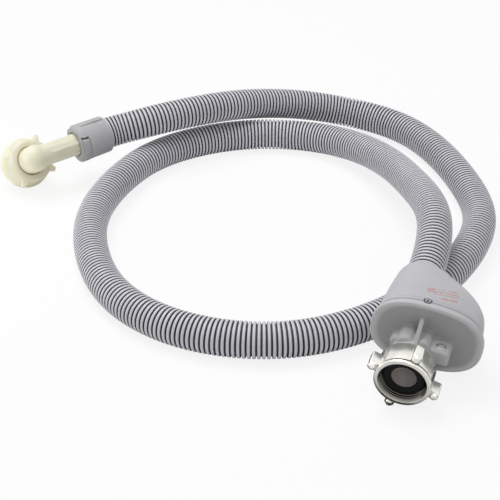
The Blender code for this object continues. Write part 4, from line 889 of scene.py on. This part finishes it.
# Washer and strainer: a flat black EPDM ring in the nut's socket, and inside it a pressed cup of stainless
# wire cloth that keeps grit out of the valve.
washer_profile = [
    (11.4, 89.1), (11.7, 88.8), (11.7, 87.0), (11.4, 86.7), (7.8, 86.7), (7.5, 87.0), (7.5, 88.8), (7.8, 89.1),
]  # fmt: skip
washer = turn("tap_washer_ring", washer_profile, "joined")
smooth_faces(washer, 33.0)
black_rubber = moulded_finish(
    "black_rubber", (0.006, 0.006, 0.007), (0.010, 0.010, 0.011), (0.55, 0.7), grain=1200.0, bump=0.03
)
black_rubber.node_tree.nodes["Principled BSDF"].inputs["Specular IOR Level"].default_value = 0.15
seat(washer, tap_end, black_rubber, "hose_assembly", "black_rubber", "tap_washer")
give_finish(black_rubber, "stem_seal", "piston_seal", "pin_seal", "elbow_washer")


CLOTH_R, CLOTH_RISE, WIRE_D = 6.8 * MM, 0.45 * MM, 0.36 * MM
MESHES_ACROSS = 27


def wire_cloth():
    """A slightly domed grid cut to a disc, whose edges become wires."""
    bpy.ops.object.select_all(action="DESELECT")
    bpy.ops.mesh.primitive_grid_add(
        x_subdivisions=MESHES_ACROSS, y_subdivisions=MESHES_ACROSS, size=14.2 * MM, location=(0, 0, 88.3 * MM)
    )
    cloth = bpy.context.object
    cloth.name = "strainer_cloth"
    bpy.ops.object.transform_apply(location=True, rotation=True, scale=True)
    for vertex in cloth.data.vertices:
        vertex.co.z += CLOTH_RISE * (1 - (math.hypot(vertex.co.x, vertex.co.y) / CLOTH_R) ** 2)
    bpy.ops.object.mode_set(mode="EDIT")
    bpy.ops.mesh.select_all(action="DESELECT")
    bpy.ops.object.mode_set(mode="OBJECT")
    for vertex in cloth.data.vertices:
        vertex.select = math.hypot(vertex.co.x, vertex.co.y) > CLOTH_R
    bpy.ops.object.mode_set(mode="EDIT")
    bpy.ops.mesh.delete(type="VERT")
    bpy.ops.object.mode_set(mode="OBJECT")
    only(cloth)
    bpy.ops.object.modifier_add(type="WIREFRAME")
    wires = cloth.modifiers[-1]
    wires.thickness = WIRE_D
    wires.use_boundary = True
    bpy.ops.object.modifier_apply(modifier=wires.name)
    return cloth


strainer = wire_cloth()
cup_profile = [
    (6.4, 88.2), (6.6, 88.55), (6.95, 88.5), (7.2, 88.1), (7.2, 83.6), (6.6, 83.6), (6.6, 87.8), (6.4, 88.0),
]  # fmt: skip
cup = turn("strainer_cup", cup_profile, "joined", 72)
only(strainer)
cup.select_set(True)
bpy.ops.object.join()
smooth_faces(strainer, 40.0)
wire_steel = moulded_finish(
    "wire_steel", (0.27, 0.245, 0.23), (0.18, 0.162, 0.15), (0.40, 0.55), grain=900.0, bump=0.02, metal=0.5
)
seat(strainer, tap_end, wire_steel, "hose_assembly", "strainer_mesh", "tap_strainer")


# Elbow of the machine end: natural nylon, moulded with a domed knee, a flanged spigot for the nut and a
# ribbed leg that ends in a barbed tail inside the pressure hose.
SPIGOT_OUTWARD = (-0.46039055, 0.71851251, -0.52132553)
elbow_knee = axes_at(ELBOW_AT, SPIGOT_OUTWARD, leg_direction)
knee_from_leg = elbow_knee.inverted() @ elbow_leg
HEAD_R, FLANGE_R, LEG_R, TAIL_R = 9.6, 11.7, 7.7, 4.3
CLIP_START, CLIP_END, CLIP_PLAY = 32.3, 36.9, 0.4  # up the leg, where the clip sits in its groove
DOME_STEPS = 9
head_profile = [(FLANGE_R, 18.0), (FLANGE_R, 15.6), (HEAD_R, 15.6), (HEAD_R, 0.5)]
for step in range(1, DOME_STEPS):
    angle = math.radians(90.0 * step / DOME_STEPS)
    head_profile.append((HEAD_R * math.cos(angle), 0.5 - 0.9 * HEAD_R * math.sin(angle)))
elbow = turn("nylon_elbow", head_profile, "filled")
groove_start, groove_end = CLIP_START - CLIP_PLAY, CLIP_END + CLIP_PLAY
leg_profile = [
    (LEG_R, 0.5), (LEG_R, groove_start), (6.0, groove_start), (6.0, groove_end), (LEG_R, groove_end), (LEG_R, 41.0),
    (TAIL_R - 0.5, 41.0),
]  # fmt: skip
for barb in range(3):
    low = 43.0 + 5.0 * barb
    leg_profile += [(TAIL_R - 0.6, low), (TAIL_R, low + 0.2), (TAIL_R, low + 0.7), (TAIL_R - 0.6, low + 3.6)]
leg_profile.append((TAIL_R - 0.6, 61.2))
leg = turn("leg", leg_profile, "filled", 72)
LEG_RIBS = 6
for number in range(LEG_RIBS):
    angle = math.tau * (number + 0.5) / LEG_RIBS
    rib = rounded_block("leg_rib", (1.5, 1.3, 21.4), (0, LEG_R, 20.7), 0.35, 2)
    rib.data.transform(Matrix.Rotation(angle - math.pi / 2, 4, "Z"))
    combine(leg, rib, "UNION")
leg.data.transform(knee_from_leg)
combine(elbow, leg, "UNION")
leg_bore = turn("leg_bore", [(4.6, 0.0), (4.6, 25.4), (2.8, 27.4), (2.8, 63.0)], "filled", 48)
leg_bore.data.transform(knee_from_leg)
combine(elbow, turn("spigot_bore", [(5.0, -3.4), (5.0, 20.0)], "filled", 48), "DIFFERENCE")
combine(elbow, leg_bore, "DIFFERENCE")
merge_moulding(elbow, grain_size=0.36, rounds=3, keep=0.5)
nylon = moulded_finish(
    "natural_nylon", (0.985, 0.905, 0.69), (0.95, 0.85, 0.58), (0.32, 0.44), grain=800.0, bump=0.035, blotch=70.0
)
translucence = nylon.node_tree.nodes["Principled BSDF"].inputs
translucence["Subsurface Weight"].default_value = 0.8
translucence["Subsurface Radius"].default_value = (1.0, 0.95, 0.8)
translucence["Subsurface Scale"].default_value = 0.010
seat(elbow, elbow_knee, nylon, "hose_assembly", "cream_nylon", "elbow")


# Union nut of the machine end: the same nylon, moulded with a flared rim, a sloping back and four small
# lugs low on the slope. It turns freely behind the spigot's flange.
E_FRONT, E_BACK = 25.3, 9.3
nut_profile = [
    (13.6, E_FRONT - 0.2), (13.8, E_FRONT), (16.6, E_FRONT), (17.2, E_FRONT - 0.25), (17.4, E_FRONT - 0.8),
    (17.4, E_FRONT - 4.2), (17.2, E_FRONT - 4.8), (16.6, E_FRONT - 5.4), (15.6, E_BACK + 2.6),
    (15.3, E_BACK + 1.5), (14.6, E_BACK + 0.6), (13.4, E_BACK + 0.1), (12.6, E_BACK), (10.4, E_BACK),
    (10.2, E_BACK + 0.2), (10.2, E_BACK + 2.8), (12.9, E_BACK + 2.8), (12.9, E_BACK + 4.6),
]  # fmt: skip
height = E_BACK + 5.2
while height < E_FRONT - 2.6:
    nut_profile += [(THREAD_CREST, height), (THREAD_CREST, height + 0.3)]
    nut_profile += [(THREAD_ROOT, height + 0.9), (THREAD_ROOT, height + 1.15)]
    height += THREAD_PITCH
nut_profile.append((12.4, E_FRONT - 1.4))
elbow_nut = turn("elbow_union_nut", nut_profile, "joined", NUT_SIDES)
SMALL_LUG_AT, SMALL_LUG_TURN = (0, 16.6, E_BACK + 4.2), 54.0
for number in range(4):
    lug = rounded_block("small_lug", (5.4, 6.0, 6.0), SMALL_LUG_AT, 0.9)
    for vertex in lug.data.vertices:
        # the mould's draft: a tooth that narrows outwards and slopes off to the back
        out = max(0.0, (vertex.co.y / MM - 14.6) / 5.0)
        vertex.co.x *= 1 - 0.45 * out
        vertex.co.z += max(0.0, SMALL_LUG_AT[2] - vertex.co.z / MM) * 0.8 * out * MM
    lug.data.transform(Matrix.Rotation(-math.radians(SMALL_LUG_TURN + 90.0 * number), 4, "Z"))
    combine(elbow_nut, lug, "UNION")
smooth_faces(elbow_nut, 35.0)
seat(elbow_nut, elbow_knee, nylon, "elbow_nut", "cream_nylon", "elbow_nut")


# Snap sleeve and its clip: grey polypropylene. The sleeve joins elbow and corrugated hose, with a low keel
# above and below. The horseshoe clip is pushed up through its slot into the elbow's groove and holds it there.
SLEEVE_START = 31.2
SLEEVE_R = 13.0
KEEL_SUNK = 0.85  # how deep a keel sits in the sleeve's wall
sleeve_profile = [
    (11.5, SLEEVE_END), (12.5, SLEEVE_END), (12.9, SLEEVE_END - 0.3), (SLEEVE_R, SLEEVE_END - 0.8),
    (SLEEVE_R + 0.4, SLEEVE_START + 3.4), (SLEEVE_R + 0.3, SLEEVE_START + 2.4), (12.7, SLEEVE_START + 1.4),
    (11.9, SLEEVE_START + 0.5), (10.8, SLEEVE_START + 0.05), (10.4, SLEEVE_START), (8.8, SLEEVE_START),
    (8.6, SLEEVE_START + 0.2), (8.6, SLEEVE_START + 1.8), (11.3, SLEEVE_START + 1.8), (11.3, SLEEVE_END - 0.2),
]  # fmt: skip
sleeve = turn("snap_sleeve", sleeve_profile, "joined")
for side, tall, wide, length in ((-1, 1.5, 3.2, 12.9), (1, 0.9, 4.8, 18.0)):
    middle = (0, side * (SLEEVE_R + (tall - KEEL_SUNK) / 2), 53.45 - length / 2)
    keel = rounded_block("keel", (wide, tall + KEEL_SUNK, length), middle, 0.45, 3)
    combine(sleeve, keel, "UNION")
clip_top = 0.55 * SLEEVE_R
slot_size = (52.0, 26.0, CLIP_END - CLIP_START + 2 * CLIP_PLAY)
slot_centre = (0, clip_top + 1.2 - slot_size[1] / 2, (CLIP_START + CLIP_END) / 2)
combine(sleeve, rounded_block("slot", slot_size, slot_centre, 0.1, 1), "DIFFERENCE")
round_edges(sleeve, 0.12, 2, 50.0)
smooth_faces(sleeve, 38.0)
sleeve_grey = moulded_finish(
    "sleeve_grey", (0.49, 0.49, 0.50), (0.43, 0.43, 0.44), (0.5, 0.62), grain=900.0, bump=0.08, blotch=120.0
)
seat(sleeve, elbow_leg, sleeve_grey, "hose_assembly", "grey_moulded_plastic", "elbow_sleeve")
clip_profile = [(13.6, CLIP_START), (13.6, CLIP_END), (6.3, CLIP_END), (6.3, CLIP_START)]
clip = turn("horseshoe_clip", clip_profile, "joined")
only(clip)
bpy.ops.object.mode_set(mode="EDIT")
bpy.ops.mesh.select_all(action="SELECT")
bpy.ops.mesh.bisect(plane_co=(0, (clip_top - 0.3) * MM, 0), plane_no=(0, 1, 0), use_fill=True, clear_outer=True)
bpy.ops.object.mode_set(mode="OBJECT")
round_edges(clip, 0.35, 3, 40.0)
smooth_faces(clip, 38.0)
seat(clip, elbow_leg, sleeve_grey, "hose_assembly", "grey_moulded_plastic", "retaining_clip")


# Valve body, piston and latch pin: turned and moulded white acetal. Only the stem's end shows, in the nut.
white_acetal = moulded_finish(
    "white_acetal", (0.80, 0.80, 0.78), (0.75, 0.75, 0.73), (0.30, 0.42), grain=1500.0, bump=0.015
)
give_finish(white_acetal, "valve_body", "shutoff_piston", "release_pin")


# Cover screw: a zinc-plated pan head with a cross recess, driven into the cover's block.
dull_zinc = moulded_finish(
    "dull_zinc", (0.68, 0.68, 0.69), (0.58, 0.58, 0.59), (0.40, 0.55), grain=1500.0, bump=0.02, metal=0.3
)
give_finish(dull_zinc, "cover_screw")


# Spring, retainer and swelling ring inside the valve: drawn stainless wire, a pressed steel ring, and a ring
# of pressed fibre that swells when it gets wet.
spring_steel = moulded_finish(
    "spring_steel", (0.56, 0.56, 0.57), (0.48, 0.48, 0.49), (0.22, 0.34), grain=2500.0, bump=0.01, metal=1.0
)
give_finish(spring_steel, "piston_spring", "spring_retainer")
pressed_fibre = moulded_finish(
    "pressed_fibre", (0.60, 0.50, 0.33), (0.50, 0.41, 0.26), (0.85, 0.95), grain=1800.0, bump=0.25
)
give_finish(pressed_fibre, "swelling_ring")
